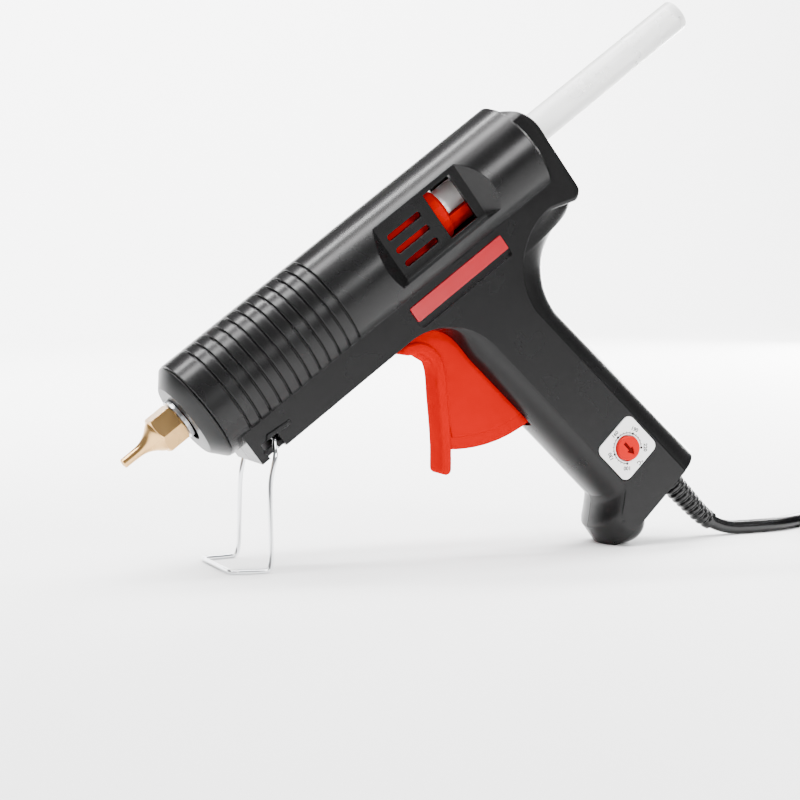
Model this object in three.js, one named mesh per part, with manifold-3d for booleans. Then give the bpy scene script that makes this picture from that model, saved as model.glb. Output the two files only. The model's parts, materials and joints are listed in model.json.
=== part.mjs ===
// Hot-glue gun with a temperature dial, standing on its wire stand and the toe of its handle.
//
// Units are millimetres. The gun is drawn in its own frame: x runs back from the nozzle tip along the glue
// stick, z is up and y is sideways, with the left-hand side at -y. One group tilts that frame nose-down, so
// that the stand and the toe rest on z = 0. The cord is drawn in the standing frame.

import * as THREE from 'three';
import { mergeVertices, mergeGeometries } from 'three/addons/utils/BufferGeometryUtils.js';
import Module from 'manifold-3d';

const wasm = await Module();
wasm.setup();

// ---------------------------------------------------------------- driving dimensions

const TILT = THREE.MathUtils.degToRad(36.8);
const GAP = 0.3;

const STICK_RADIUS = 5.6;
const STICK_FRONT = 66;
const STICK_REAR = 251;

const BARREL_RADIUS = 18.4;
const BARREL_DROP = 1.7;
const BARREL_FRONT = 29.4;
const BARREL_REAR = 172.5;
const BODY_REAR = 179.6;
const HALF_WIDTH = 13;
const WALL = 2;

const KEEL_FRONT = 34;
const KEEL_BOTTOM = -26.3;
const ARCH_RADIUS = 24;
const ARCH_CENTRE = { x: 98.1, z: KEEL_BOTTOM - ARCH_RADIUS };
const HANDLE_LEAN = 0.153;
const FRONT_ROUNDING = 8.3;

const NECK_RADIUS = 25.2;
const NECK_CENTRE = { x: 166.8, z: -46.5 };
const HORN_RADIUS = 24.5;
const HORN_CENTRE = { x: 175.2, z: -53 };
const HORN_CORNER = 4.4;
const BLOCK_BOTTOM = -25.5;
const BLOCK_LOWER_CORNER = 4;
const BLOCK_CORNER = 14;
const BLOCK_ROUND_RADIUS = 17.6;

const TOE = { x: 127, z: -128.7, radius: 8.8, endRadius: 2.5 };
const TOE_FRONT = { x: 125, top: -116.5, bottom: -124 };
const TOE_PAD_DEPTH = 0.3;
const BASE = { x: 154.8, z: -127.4, slope: 0.155 };

const RECESS = { front: 110, rear: 146, bottom: -9.7, top: 12, depthAt: 12.8, skin: 1.5 };
const WINDOW = { front: 131, rear: 142.6, bottom: -8, top: 9.7 };
const SLOT = { front: 112.5, rear: 126.9, height: 2.2, pitch: 5.3, first: -5 };
const BAR = { front: 104.5, rear: 145.9, top: -17.2, height: 5.4, pocket: 8.4, depth: 1.3 };
const LABEL = { x: 140.8, z: -106.2, width: 17.8, length: 16.4, corner: 2.6, depth: 0.8 };
const KNOB_RADIUS = 4.3;

const PIVOT = { x: 121, z: -30.7 };
const TRIGGER_HALF = 4.4;
const TRIGGER_RIM = 43.2;
const TRIGGER_REACH = 47.4;
const TRIGGER_TRAVEL = THREE.MathUtils.degToRad(25);
const ARM_LENGTH = 18.7;

const ROD = { z: 12, radius: 1.2, front: 99, rear: 160 };
const RING = { front: 131.3, rear: 135.7, radius: 10.4 };

const WIRE_RADIUS = 0.8;
const STAND = { x: 42.6, z: -22.4 };

const TOE_FROM_ORIGIN = 76;

const CORD_RADIUS = 2.5;
const CORD_BEND = 25;
const BOOT = { x: 151.3, length: 27, radius: 4.8, tipRadius: 3.3 };
const HANK = { front: 184, rear: 218, y: -9, inner: 12.5, outer: 27.5, bottom: 1.1, height: 14.6 };
const TIE = { x: 196, width: 6 };
const PLUG = { rear: 204, y: -24, length: 34, width: 26, thickness: 13.4 };
const PIN = { radius: 2, length: 19, pitch: 19 };

// ---------------------------------------------------------------- helpers: solids

const sumOf = (list) => list.reduce((total, value) => total.add(value));

function bare(geometry) {
  const copy = geometry.clone();
  copy.deleteAttribute('normal');
  copy.deleteAttribute('uv');
  return mergeVertices(copy, 1e-4);
}

function solid(geometry) {
  const merged = bare(geometry);
  const mesh = new wasm.Mesh({
    numProp: 3,
    vertProperties: new Float32Array(merged.attributes.position.array),
    triVerts: new Uint32Array(merged.index.array),
  });
  return new wasm.Manifold(mesh);
}

function geometryOf(manifold) {
  const mesh = manifold.getMesh();
  const geometry = new THREE.BufferGeometry();
  geometry.setAttribute('position', new THREE.BufferAttribute(new Float32Array(mesh.vertProperties), 3));
  geometry.setIndex(new THREE.BufferAttribute(new Uint32Array(mesh.triVerts), 1));
  return geometry;
}

// A box given by its lowest and highest corners.
function box([x0, y0, z0], [x1, y1, z1]) {
  const geometry = new THREE.BoxGeometry(x1 - x0, y1 - y0, z1 - z0);
  geometry.translate((x0 + x1) / 2, (y0 + y1) / 2, (z0 + z1) / 2);
  return geometry;
}

// A solid of revolution about the x axis, from a profile of [x, radius] points.
function turned(profile, segments = 28, z = 0) {
  const points = profile.map(([x, radius]) => new THREE.Vector2(radius, x));
  const geometry = new THREE.LatheGeometry(points, segments);
  geometry.rotateZ(-Math.PI / 2);
  geometry.translate(0, 0, z);
  return geometry;
}

const rodX = (x0, x1, radius, segments = 28, z = 0) =>
  turned([[x0, 0], [x0, radius], [x1, radius], [x1, 0]], segments, z);

const tubeX = (x0, x1, inner, outer, segments = 28, z = 0) =>
  turned([[x0, inner], [x0, outer], [x1, outer], [x1, inner], [x0, inner]], segments, z);

// A round bar across the gun, from y0 to y1.
function rodY(x, z, y0, y1, radius, segments = 20) {
  const geometry = new THREE.CylinderGeometry(radius, radius, y1 - y0, segments);
  geometry.translate(x, (y0 + y1) / 2, z);
  return geometry;
}

// A flat piece: an outline in the x-z plane, carried across the gun from y0 to y1.
function across(shape, y0, y1, bevel = 0, bevelSegments = 2) {
  const geometry = new THREE.ExtrudeGeometry(shape, {
    depth: y1 - y0 - 2 * bevel,
    bevelEnabled: bevel > 0,
    bevelThickness: bevel,
    bevelSize: bevel,
    bevelOffset: -bevel,
    bevelSegments,
    curveSegments: 6,
  });
  geometry.rotateX(Math.PI / 2);
  geometry.translate(0, y1 - bevel, 0);
  return geometry;
}

function polygon(points) {
  return new THREE.Shape(points.map(([x, z]) => new THREE.Vector2(x, z)));
}

// A rectangle with round corners about (x, z), turned by an angle.
function roundedRectangle(x, z, width, height, radius, angle = 0) {
  const shape = new THREE.Shape();
  const halfWidth = width / 2 - radius;
  const halfHeight = height / 2 - radius;
  const corners = [[1, 1], [-1, 1], [-1, -1], [1, -1]];
  const points = [];
  corners.forEach(([sideX, sideZ], corner) => {
    for (let step = 0; step <= 4; step += 1) {
      const turn = (corner + step / 4) * (Math.PI / 2);
      const point = new THREE.Vector2(
        sideX * halfWidth + radius * Math.cos(turn),
        sideZ * halfHeight + radius * Math.sin(turn),
      );
      points.push(point.rotateAround(new THREE.Vector2(), angle).add(new THREE.Vector2(x, z)));
    }
  });
  shape.setFromPoints(points);
  return shape;
}

// A band of even width along a smooth line, with round ends, as an outline.
function stroke(points, halfWidth, divisions) {
  const curve = new THREE.SplineCurve(points.map(([x, z]) => new THREE.Vector2(x, z)));
  const offset = (t, degrees) => {
    const arm = curve.getTangent(t).multiplyScalar(halfWidth);
    arm.rotateAround(new THREE.Vector2(), THREE.MathUtils.degToRad(degrees));
    return curve.getPoint(t).add(arm);
  };
  const steps = Array.from({ length: divisions + 1 }, (_, i) => i / divisions);
  return new THREE.Shape([
    ...steps.map((t) => offset(t, 90)),
    ...[45, 0, -45].map((degrees) => offset(1, degrees)),
    ...steps.reverse().map((t) => offset(t, -90)),
    ...[-135, 180, 135].map((degrees) => offset(0, degrees)),
  ]);
}

// A round bar along a smooth line in space.
function bar(points, radius, steps, sides = 8) {
  const section = new THREE.Shape();
  section.absarc(0, 0, radius, 0, Math.PI * 2);
  const through = points.map((point) => new THREE.Vector3(...point));
  const path = new THREE.CatmullRomCurve3(through, false, 'centripetal');
  return new THREE.ExtrudeGeometry(section, {
    steps, extrudePath: path, curveSegments: sides, bevelEnabled: false,
  });
}

// ---------------------------------------------------------------- helpers: scene graph

const glueGun = new THREE.Group();
const gunFrame = new THREE.Group();
glueGun.add(gunFrame);

function finish(color, roughness, metalness = 0, opacity = 1) {
  return () => new THREE.MeshStandardMaterial({
    color, roughness, metalness, opacity, transparent: opacity < 1,
  });
}

const blackPlastic = finish(0x1d1d1f, 0.38);
const noseBlack = finish(0x0c0c0d, 0.5);
const brass = finish(0xc59a5a, 0.28, 1);
const steel = finish(0xb9bcc0, 0.3, 1);
const aluminium = finish(0xa9adb2, 0.4, 1);
const chrome = finish(0xd9dcdf, 0.15, 1);
const redPlastic = finish(0xe5221c, 0.4);
const crimsonLens = finish(0xd80f33, 0.3);
const knobRed = finish(0xf04028, 0.45);
const labelWhite = finish(0xe9e9e6, 0.5);
const glueMilk = finish(0xe4e4e2, 0.35, 0, 0.8);
const silicone = finish(0xc7452f, 0.7);
const ceramic = finish(0xe6dccb, 0.7);
const boardGreen = finish(0x1f6b3a, 0.55);
const leadSleeve = finish(0xd8d4c8, 0.75);
const cordRubber = finish(0x131314, 0.45);

function add(name, geometry, material, parent = gunFrame) {
  const mesh = new THREE.Mesh(bare(geometry), material());
  mesh.name = name;
  parent.add(mesh);
  return mesh;
}

const addSolid = (name, manifold, material, parent = gunFrame) =>
  add(name, geometryOf(manifold), material, parent);

// ---------------------------------------------------------------- handle: outlines by height

const circleX = (centre, radius, z) => centre.x - Math.sqrt(Math.max(0, radius ** 2 - (z - centre.z) ** 2));

// Where the flat side face starts at the front.
function frontEdge(z) {
  if (z > KEEL_BOTTOM) return ARCH_CENTRE.x;
  if (z > ARCH_CENTRE.z + 3.6) {
    return ARCH_CENTRE.x + Math.sqrt(ARCH_RADIUS ** 2 - (z - ARCH_CENTRE.z) ** 2);
  }
  const straight = 121.9 - (z + 46.7) * HANDLE_LEAN;
  if (z > TOE_FRONT.top) return straight;
  const step = Math.min(1, (TOE_FRONT.top - z) / (TOE_FRONT.top - TOE_FRONT.bottom));
  return THREE.MathUtils.lerp(straight, TOE_FRONT.x, step);
}

const frontRounding = (z) => 1 + (FRONT_ROUNDING - 1) * THREE.MathUtils.smoothstep(-z, 24, 48);

// Where the flat side face ends at the back, and the outermost line of the back itself.
function backEdge(z) {
  if (z > NECK_CENTRE.z + NECK_RADIUS) return BODY_REAR - 1.5;
  if (z > NECK_CENTRE.z) return circleX(NECK_CENTRE, NECK_RADIUS, z);
  return NECK_CENTRE.x - NECK_RADIUS - (z - NECK_CENTRE.z) * HANDLE_LEAN * 1.03;
}

function backLine(z) {
  const underside = HORN_CENTRE.z + HORN_RADIUS;
  if (z > underside + HORN_CORNER) return BODY_REAR;
  if (z > underside) {
    const rise = z - underside - HORN_CORNER;
    return BODY_REAR - HORN_CORNER + Math.sqrt(HORN_CORNER ** 2 - rise ** 2);
  }
  if (z > HORN_CENTRE.z) return circleX(HORN_CENTRE, HORN_RADIUS, z);
  return HORN_CENTRE.x - HORN_RADIUS - (z - HORN_CENTRE.z) * HANDLE_LEAN * 1.15;
}

function handleHeights() {
  const neckTop = NECK_CENTRE.z + NECK_RADIUS;
  const hornTop = HORN_CENTRE.z + HORN_RADIUS + HORN_CORNER;
  const heights = [-15, neckTop, hornTop, KEEL_BOTTOM];
  const archSteps = 7;
  for (let step = 1; step <= archSteps; step += 1) {
    heights.push(ARCH_CENTRE.z + ARCH_RADIUS * Math.cos((step / archSteps) * (Math.PI / 2)));
  }
  const lowerSteps = 5;
  for (let step = 1; step <= lowerSteps; step += 1) {
    heights.push(THREE.MathUtils.lerp(ARCH_CENTRE.z, TOE_FRONT.top, step / lowerSteps));
  }
  return [...heights, TOE_FRONT.bottom, -134];
}

// The handle as a stack of level sections, each two flat sides joined by half ellipses.
function handle(inset) {
  const arc = 4;
  const around = 4 * arc + 2;
  const heights = handleHeights();
  const geometry = new THREE.CylinderGeometry(1, 1, 1, around, heights.length - 1);
  const position = geometry.attributes.position;
  for (let i = 0; i < position.count; i += 1) {
    const level = Math.round((0.5 - position.getY(i)) * (heights.length - 1));
    const z = heights[level];
    const reach = Math.hypot(position.getX(i), position.getZ(i));
    const angle = Math.atan2(position.getX(i), position.getZ(i));
    const index = Math.round(((angle / (2 * Math.PI) + 1) % 1) * around) % around;
    const isBack = index <= 2 * arc;
    const phase = ((isBack ? index : index - 1) / arc - 1) * (Math.PI / 2);
    const flatEnd = isBack ? backEdge(z) - inset : frontEdge(z) + inset;
    const depth = isBack ? backLine(z) - backEdge(z) : frontRounding(z);
    const centre = (backEdge(z) + frontEdge(z)) / 2;
    const x = THREE.MathUtils.lerp(centre, flatEnd + depth * Math.cos(phase), reach);
    position.setXYZ(i, x, -(HALF_WIDTH - inset) * Math.sin(phase) * reach, z);
  }
  const made = solid(geometry);
  return made.volume() > 0 ? made : solid(flipped(geometry));
}

function flipped(geometry) {
  const copy = bare(geometry);
  copy.index.array.forEach((value, i, list) => {
    if (i % 3 === 0) [list[i + 1], list[i + 2]] = [list[i + 2], list[i + 1]];
  });
  return copy;
}

// Everything under the flat end of the handle, raised by an inset.
function underBase(inset) {
  const low = -170;
  const at = (x) => BASE.z + inset - (BASE.x - x) * BASE.slope;
  return solid(across(polygon([[100, low], [200, low], [200, at(200)], [100, at(100)]]), -30, 30));
}

// ---------------------------------------------------------------- housing

function rearBlock(inset) {
  const halfWidth = HALF_WIDTH - inset;
  const rear = BODY_REAR - inset;
  const top = BARREL_RADIUS - BARREL_DROP - 0.7 - inset;
  const corner = BLOCK_CORNER - inset;
  const bottom = BLOCK_BOTTOM + inset;
  const lower = BLOCK_LOWER_CORNER - inset;
  const shape = new THREE.Shape();
  shape.moveTo(150, bottom);
  shape.absarc(rear - lower, bottom + lower, lower, -Math.PI / 2, 0);
  shape.lineTo(rear, top - corner);
  shape.absarc(rear - corner, top - corner, corner, 0, Math.PI / 2);
  shape.lineTo(150, top);
  const slab = solid(across(shape, -halfWidth, halfWidth));
  const round = solid(rodX(140, 190, BLOCK_ROUND_RADIUS - inset, 32, -BARREL_DROP));
  const below = solid(box([140, -30, -40], [190, 30, -BARREL_DROP]));
  return slab.intersect(round.add(below));
}

function toe() {
  const points = [];
  const steps = 6;
  for (let step = 0; step <= steps; step += 1) {
    const y = -Math.cos((step / steps) * Math.PI) * HALF_WIDTH;
    const bulge = Math.sqrt(1 - (y / HALF_WIDTH) ** 2);
    points.push(new THREE.Vector2(TOE.endRadius + (TOE.radius - TOE.endRadius) * bulge, y));
  }
  points.unshift(new THREE.Vector2(0, -HALF_WIDTH));
  points.push(new THREE.Vector2(0, HALF_WIDTH));
  const geometry = new THREE.LatheGeometry(points, 16);
  geometry.translate(TOE.x, 0, TOE.z);
  return solid(geometry);
}

// The half-space under the standing surface, seen from the tilted gun: it trims the toe's flat pad.
function belowPad() {
  const slab = new THREE.BoxGeometry(60, 60, 20);
  slab.translate(0, 0, -10);
  slab.rotateY(TILT);
  const down = new THREE.Vector3(-Math.sin(TILT), 0, -Math.cos(TILT));
  down.multiplyScalar(TOE.radius - TOE_PAD_DEPTH);
  slab.translate(TOE.x + down.x, 0, TOE.z + down.z);
  return solid(slab);
}

function housingOutside() {
  const barrel = solid(rodX(BARREL_FRONT, BARREL_REAR, BARREL_RADIUS, 40, -BARREL_DROP));
  const keel = solid(box([KEEL_FRONT, -HALF_WIDTH, KEEL_BOTTOM], [125, HALF_WIDTH, -5]));
  const grip = handle(0).subtract(underBase(0));
  return sumOf([barrel, keel, rearBlock(0), grip, toe()]).subtract(belowPad());
}

function recessFloor(side) {
  const outer = side * (RECESS.depthAt - RECESS.skin);
  const far = side * 30;
  const low = Math.min(outer, far);
  const high = Math.max(outer, far);
  return solid(box([RECESS.front - 8, low, RECESS.bottom - 2.5], [RECESS.rear + 8, high, RECESS.top + 2.5]));
}

function housingInside() {
  const barrel = solid(rodX(BARREL_FRONT + WALL, BARREL_REAR - WALL, BARREL_RADIUS - WALL, 32, -BARREL_DROP));
  const cleared = barrel.subtract(recessFloor(-1)).subtract(recessFloor(1));
  const narrow = HALF_WIDTH - WALL;
  const keel = solid(box([KEEL_FRONT + WALL, -narrow, KEEL_BOTTOM + WALL], [125, narrow, -5]));
  const grip = handle(WALL).subtract(underBase(WALL));
  return sumOf([cleared, keel, rearBlock(WALL), grip]);
}

// The trough cut into the barrel's side: a flat floor with sloping ends.
function recess(side) {
  const depth = 12;
  const shape = new THREE.Shape();
  shape.moveTo(RECESS.front, RECESS.depthAt);
  shape.lineTo(RECESS.rear, RECESS.depthAt);
  shape.lineTo(RECESS.rear + depth, RECESS.depthAt + depth);
  shape.lineTo(RECESS.front - depth, RECESS.depthAt + depth);
  const height = RECESS.top - RECESS.bottom;
  const geometry = new THREE.ExtrudeGeometry(shape, { depth: height, bevelEnabled: false });
  geometry.translate(0, 0, RECESS.bottom);
  const trough = solid(geometry);
  return side > 0 ? trough : trough.mirror([0, 1, 0]);
}

function sideCuts(side) {
  const span = (inner, outer) => [Math.min(side * inner, side * outer), Math.max(side * inner, side * outer)];
  const [skinLow, skinHigh] = span(9, 16);
  const window = solid(box([WINDOW.front, skinLow, WINDOW.bottom], [WINDOW.rear, skinHigh, WINDOW.top]));
  const slots = [0, 1, 2].map((row) => {
    const z = SLOT.first + row * SLOT.pitch;
    const middle = (SLOT.front + SLOT.rear) / 2;
    const length = SLOT.rear - SLOT.front;
    const outline = roundedRectangle(middle, z, length, SLOT.height, SLOT.height / 2 - 0.01);
    return solid(across(outline, skinLow, skinHigh));
  });
  const [pocketLow, pocketHigh] = span(HALF_WIDTH - BAR.depth, HALF_WIDTH + 8);
  const pocketMiddle = BAR.top - BAR.pocket / 2;
  const pocket = solid(across(roundedRectangle(
    (BAR.front + BAR.rear) / 2, pocketMiddle, BAR.rear - BAR.front, BAR.pocket, 1.2), pocketLow, pocketHigh));
  const [notchLow, notchHigh] = span(9.5, 16);
  const notch = solid(box([STAND.x - 5.4, notchLow, -30], [STAND.x + 1.6, notchHigh, STAND.z + 1.6]));
  return sumOf([recess(side), window, ...slots, pocket, notch]);
}

const HOUSING_SCREWS = [[58, -21], [95, -20.6], [166, -19], [146.5, -62.5], [131.5, -121.5]];
const SCREW = { radius: 1.5, head: 2.9, boss: 3.6 };

function bosses() {
  const reach = HALF_WIDTH - 0.5;
  const posts = HOUSING_SCREWS.map(([x, z]) => solid(rodY(x, z, -reach, reach, SCREW.boss, 10)));
  const pivots = [-1, 1].map((side) => {
    const ends = [side * (TRIGGER_HALF + 0.5), side * (HALF_WIDTH - 0.5)].sort((a, b) => a - b);
    return solid(rodY(PIVOT.x, PIVOT.z, ends[0], ends[1], 4.2, 16));
  });
  const standBearings = [-1, 1].map((side) => {
    const ends = [side * 6.8, side * 9.5].sort((a, b) => a - b);
    return solid(box([STAND.x - 2.4, ends[0], KEEL_BOTTOM + 1], [STAND.x + 2.4, ends[1], STAND.z + 2.2]));
  });
  return sumOf([...posts, ...pivots, ...standBearings]);
}

function fastenerHoles() {
  const cuts = HOUSING_SCREWS.flatMap(([x, z]) => [
    solid(rodY(x, z, -HALF_WIDTH + 3, HALF_WIDTH + 6, SCREW.radius + GAP, 8)),
    solid(rodY(x, z, HALF_WIDTH - 3.2, HALF_WIDTH + 6, SCREW.head + GAP, 12)),
  ]);
  const pin = solid(rodY(PIVOT.x, PIVOT.z, -HALF_WIDTH + 1.5, HALF_WIDTH - 1.5, 2 + GAP, 16));
  const standHole = solid(rodY(STAND.x, STAND.z, -HALF_WIDTH + 1, HALF_WIDTH - 1, WIRE_RADIUS + GAP, 12));
  return sumOf([...cuts, pin, standHole]);
}

// The lip that bounds the stand's notch in front and above.
function standLip(side) {
  const { x, z } = STAND;
  const line = [[x + 6.6, z + 1.6], [x - 1.4, z + 2.4], [x - 5.4, z - 1.5]];
  const bars = line.slice(1).map((end, i) => {
    const [start, finishPoint] = [line[i], end];
    const length = Math.hypot(finishPoint[0] - start[0], finishPoint[1] - start[1]);
    const angle = Math.atan2(finishPoint[1] - start[1], finishPoint[0] - start[0]);
    const middle = [(start[0] + finishPoint[0]) / 2, (start[1] + finishPoint[1]) / 2];
    const shape = roundedRectangle(middle[0], middle[1], length + 1.4, 1.4, 0.5, angle);
    const ends = [side * (HALF_WIDTH - 0.6), side * (HALF_WIDTH + 0.8)].sort((a, b) => a - b);
    return solid(across(shape, ends[0], ends[1]));
  });
  return sumOf(bars);
}

const handleDirection = new THREE.Vector3(HANDLE_LEAN, 0, -1).normalize();
const bootStart = new THREE.Vector3(BOOT.x, 0, BASE.z - (BASE.x - BOOT.x) * BASE.slope);

// A straight round bar along the handle's axis, from and to distances below the handle's flat end.
function alongHandle(from, to, radius, segments = 20) {
  const geometry = new THREE.CylinderGeometry(radius, radius, to - from, segments);
  geometry.rotateX(Math.PI / 2);
  const turn = new THREE.Quaternion().setFromUnitVectors(new THREE.Vector3(0, 0, -1), handleDirection);
  geometry.applyQuaternion(turn);
  const middle = bootStart.clone().addScaledVector(handleDirection, (from + to) / 2);
  geometry.translate(middle.x, middle.y, middle.z);
  return geometry;
}

function buildHousing() {
  const triggerSlot = polygon([[99.2, -23], [128, -23], [128, -79.5], [108, -79.5], [99.2, -42]]);
  const armSlot = box([112, -6.9, -24], [136, 6.9, -16]);
  const labelPocket = roundedRectangle(
    LABEL.x, LABEL.z, LABEL.width + 2 * GAP, LABEL.length + 2 * GAP, LABEL.corner, Math.atan(HANDLE_LEAN));
  const cuts = sumOf([
    sideCuts(-1),
    sideCuts(1),
    fastenerHoles(),
    solid(rodX(BARREL_FRONT - 2, BARREL_FRONT + WALL + 1, 14.6, 32, -BARREL_DROP)),
    solid(rodX(BODY_REAR - WALL - 4, BODY_REAR + 2, 9.3, 24)),
    solid(across(triggerSlot, -TRIGGER_HALF - 0.8, TRIGGER_HALF + 0.8)),
    solid(armSlot),
    solid(across(labelPocket, -HALF_WIDTH - 2, -HALF_WIDTH + LABEL.depth)),
    solid(rodY(LABEL.x, LABEL.z, -HALF_WIDTH - 2, -HALF_WIDTH + 4, KNOB_RADIUS + 0.5, 24)),
    solid(alongHandle(-8, 3, 4.1)),
    solid(alongHandle(-1.2, 3, 5.2)),
    solid(alongHandle(-5, -2.5, 5.6)),
  ]);
  const neckBlock = solid(alongHandle(-7, -1, 7.5));
  const shell = housingOutside().subtract(housingInside())
    .add(bosses()).add(neckBlock.intersect(housingOutside()))
    .add(standLip(-1)).add(standLip(1)).subtract(cuts);
  const halfGap = GAP / 2;
  const leftSpace = solid(box([0, -40, -200], [260, -halfGap, 60]));
  const rightSpace = solid(box([0, halfGap, -200], [260, 40, 60]));
  const largest = (manifold) => manifold.decompose().sort((a, b) => b.volume() - a.volume())[0];
  addSolid('housing_left', largest(shell.intersect(leftSpace)), blackPlastic);
  addSolid('housing_right', largest(shell.intersect(rightSpace)), blackPlastic);
}

function buildHousingScrews() {
  HOUSING_SCREWS.forEach(([x, z], i) => {
    const seat = HALF_WIDTH - 3.2 + GAP;
    const shank = solid(rodY(x, z, -HALF_WIDTH + 3.5, seat + 0.5, SCREW.radius, 8));
    const head = solid(rodY(x, z, seat, seat + 2, SCREW.head, 12));
    const slots = [[4, 0.9], [0.9, 4]].map(([long, wide]) =>
      solid(box([x - long / 2, seat + 1, z - wide / 2], [x + long / 2, seat + 3, z + wide / 2])));
    addSolid(`housing_screw_${i + 1}`, shank.add(head).subtract(sumOf(slots)), steel);
  });
}

// ---------------------------------------------------------------- hot end

function buildHotEnd() {
  const face = 24.4;
  const coneRadius = 13.4;
  add('nose_cap', turned([
    [face, 7.6], [face, coneRadius], [BARREL_FRONT - GAP, BARREL_RADIUS], [BARREL_FRONT - GAP, 14.3],
    [BARREL_FRONT + 4, 14.3], [BARREL_FRONT + 4, 12.3], [face + 3, 12.3], [face + 3, 7.6], [face, 7.6],
  ], 40, -BARREL_DROP), noseBlack);

  add('nozzle_washer', tubeX(22.8, 24.1, 4.4, 7.2, 24), steel);

  const hexRadius = 12 / Math.sqrt(3);
  const hex = turned([[14.2, 0], [14.2, hexRadius], [22.5, hexRadius], [22.5, 0]], 6);
  hex.rotateX(Math.PI / 6);
  const flare = turned([
    [0, 0], [0, 1.65], [6.5, 1.75], [8.8, 2.2], [11, 3.3], [12.8, 4.8], [14.4, 5.8], [14.4, 0],
  ], 18);
  const thread = rodX(22.4, 32, 4, 12);
  const bore = turned([[-1, 0], [-1, 0.8], [14, 0.8], [22, 2], [33, 2], [33, 0]], 8);
  addSolid('nozzle', sumOf([solid(hex), solid(flare), solid(thread)]).subtract(solid(bore)), brass);

  add('melt_chamber', turned([
    [27.8, 4.4], [27.8, 6.4], [31, 9.2], [86, 9.2], [86, STICK_RADIUS + 0.4], [42, STICK_RADIUS + 0.4],
    [33, 4.4], [27.8, 4.4],
  ], 20), aluminium);

  add('heater_core', box([44, -5.5, -14.6], [74, 5.5, -9.6]), ceramic);
  buildHeaterClip();
  buildHeatShield();

  add('feed_sleeve', turned([
    [86.4, 6], [86.4, 9], [90, 8.4], [101.6, 7.4], [101.6, 6], [86.4, 6],
  ], 24), silicone);
  add('sleeve_clamp', tubeX(92, 96, 8.6, 9.6, 24), steel);
}

// A strap that hugs the chamber and squeezes the heater against it.
function buildHeaterClip() {
  const outline = (spread) => {
    const shape = new THREE.Shape();
    const radius = 9.6 + spread;
    const foot = 14.9 + spread;
    const half = 5.9 + spread;
    shape.moveTo(half, -foot);
    shape.lineTo(radius, 0);
    shape.absarc(0, 0, radius, 0, Math.PI);
    shape.lineTo(-half, -foot);
    return shape;
  };
  const strap = (spread, grow) => {
    const geometry = new THREE.ExtrudeGeometry(outline(spread), {
      depth: 10 + 2 * grow, bevelEnabled: false, curveSegments: 16,
    });
    geometry.rotateX(Math.PI / 2);
    geometry.rotateZ(Math.PI / 2);
    geometry.translate(54 - grow, 0, 0);
    return solid(geometry);
  };
  addSolid('heater_clip', strap(0.7, 0).subtract(strap(0, 1)), steel);
}

// A thin steel shell, open underneath where the heater's leads come out.
function buildHeatShield() {
  const shell = solid(tubeX(36, 86, 14, 14.6, 28, -BARREL_DROP));
  const gap = solid(box([30, -9, -25], [90, 9, -8]));
  addSolid('heat_shield', shell.subtract(gap), steel);
}

// ---------------------------------------------------------------- stick feed

const armAngle = TRIGGER_TRAVEL / 2;
const ARM_END = {
  x: PIVOT.x + ARM_LENGTH * Math.sin(armAngle),
  z: PIVOT.z + ARM_LENGTH * Math.cos(armAngle),
};

function buildCarriage() {
  const tube = solid(tubeX(110, 131, 6.1, 9.3, 20));
  const neck = solid(tubeX(130.5, 137, 6.1, 7.6, 20));
  const cradleTop = solid(box([136.01, -12, -2.5], [152, 12, 12]));
  const cradle = solid(tubeX(136, 150, 6.1, 9.3, 20)).subtract(cradleTop);
  const ear = solid(rodX(117.5, 122, 2.4, 12, ROD.z)).add(solid(box([117.5, -2, 7], [122, 2, ROD.z])));
  const lugs = [-1, 1].map((side) => {
    const ends = [side * 3.5, side * 6.2].sort((a, b) => a - b);
    return solid(box([119, ends[0], -16], [131, ends[1], -6.6]));
  });
  const pinSlot = solid(box([ARM_END.x - 1.9, -7, -18], [ARM_END.x + 1.9, 7, ARM_END.z + 2.2]));
  const rodHole = solid(rodX(115, 124, ROD.radius + 0.35, 14, ROD.z));
  const bore = solid(rodX(100, 160, 6.1, 20));
  const carriage = sumOf([tube, neck, cradle, ear, ...lugs]);
  addSolid('feed_carriage', carriage.subtract(sumOf([bore, rodHole, pinSlot])), redPlastic);

  add('stick_gripper', turned([
    [RING.front, 7.9], [RING.front, RING.radius - 0.5], [RING.front + 0.5, RING.radius],
    [RING.rear - 0.5, RING.radius], [RING.rear, RING.radius - 0.5], [RING.rear, 7.9], [RING.front, 7.9],
  ], 24), redPlastic);
}

function buildFeed() {
  const chamfer = 0.4;
  add('glue_stick', turned([
    [STICK_FRONT, 0], [STICK_FRONT, STICK_RADIUS], [STICK_REAR - chamfer, STICK_RADIUS],
    [STICK_REAR, STICK_RADIUS - chamfer], [STICK_REAR, 0],
  ], 24), glueMilk);

  buildCarriage();
  add('guide_rod', rodX(ROD.front, ROD.rear, ROD.radius, 12, ROD.z), steel);
  [[97.5, 101, 'front'], [157.5, 161, 'rear']].forEach(([x0, x1, end]) => {
    const block = solid(box([x0, -4, 8.6], [x1, 4, 16])).intersect(
      solid(rodX(90, 170, BARREL_RADIUS - WALL - GAP, 32, -BARREL_DROP)));
    const hole = end === 'front' ? [ROD.front - GAP, x1 + 1] : [x0 - 1, ROD.rear + GAP];
    const rodHole = solid(rodX(hole[0], hole[1], ROD.radius + GAP, 12, ROD.z));
    addSolid(`rod_bracket_${end}`, block.subtract(rodHole), blackPlastic);
  });
  buildReturnSpring();

  add('rear_inlet_collar', turned([
    [BODY_REAR - 6, 6.1], [BODY_REAR - 6, 9], [BODY_REAR + 0.6, 9], [BODY_REAR + 1.4, 7.6],
    [BODY_REAR + 1.4, 6.6], [BODY_REAR - 1, 6.1], [BODY_REAR - 6, 6.1],
  ], 28), noseBlack);
}

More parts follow.
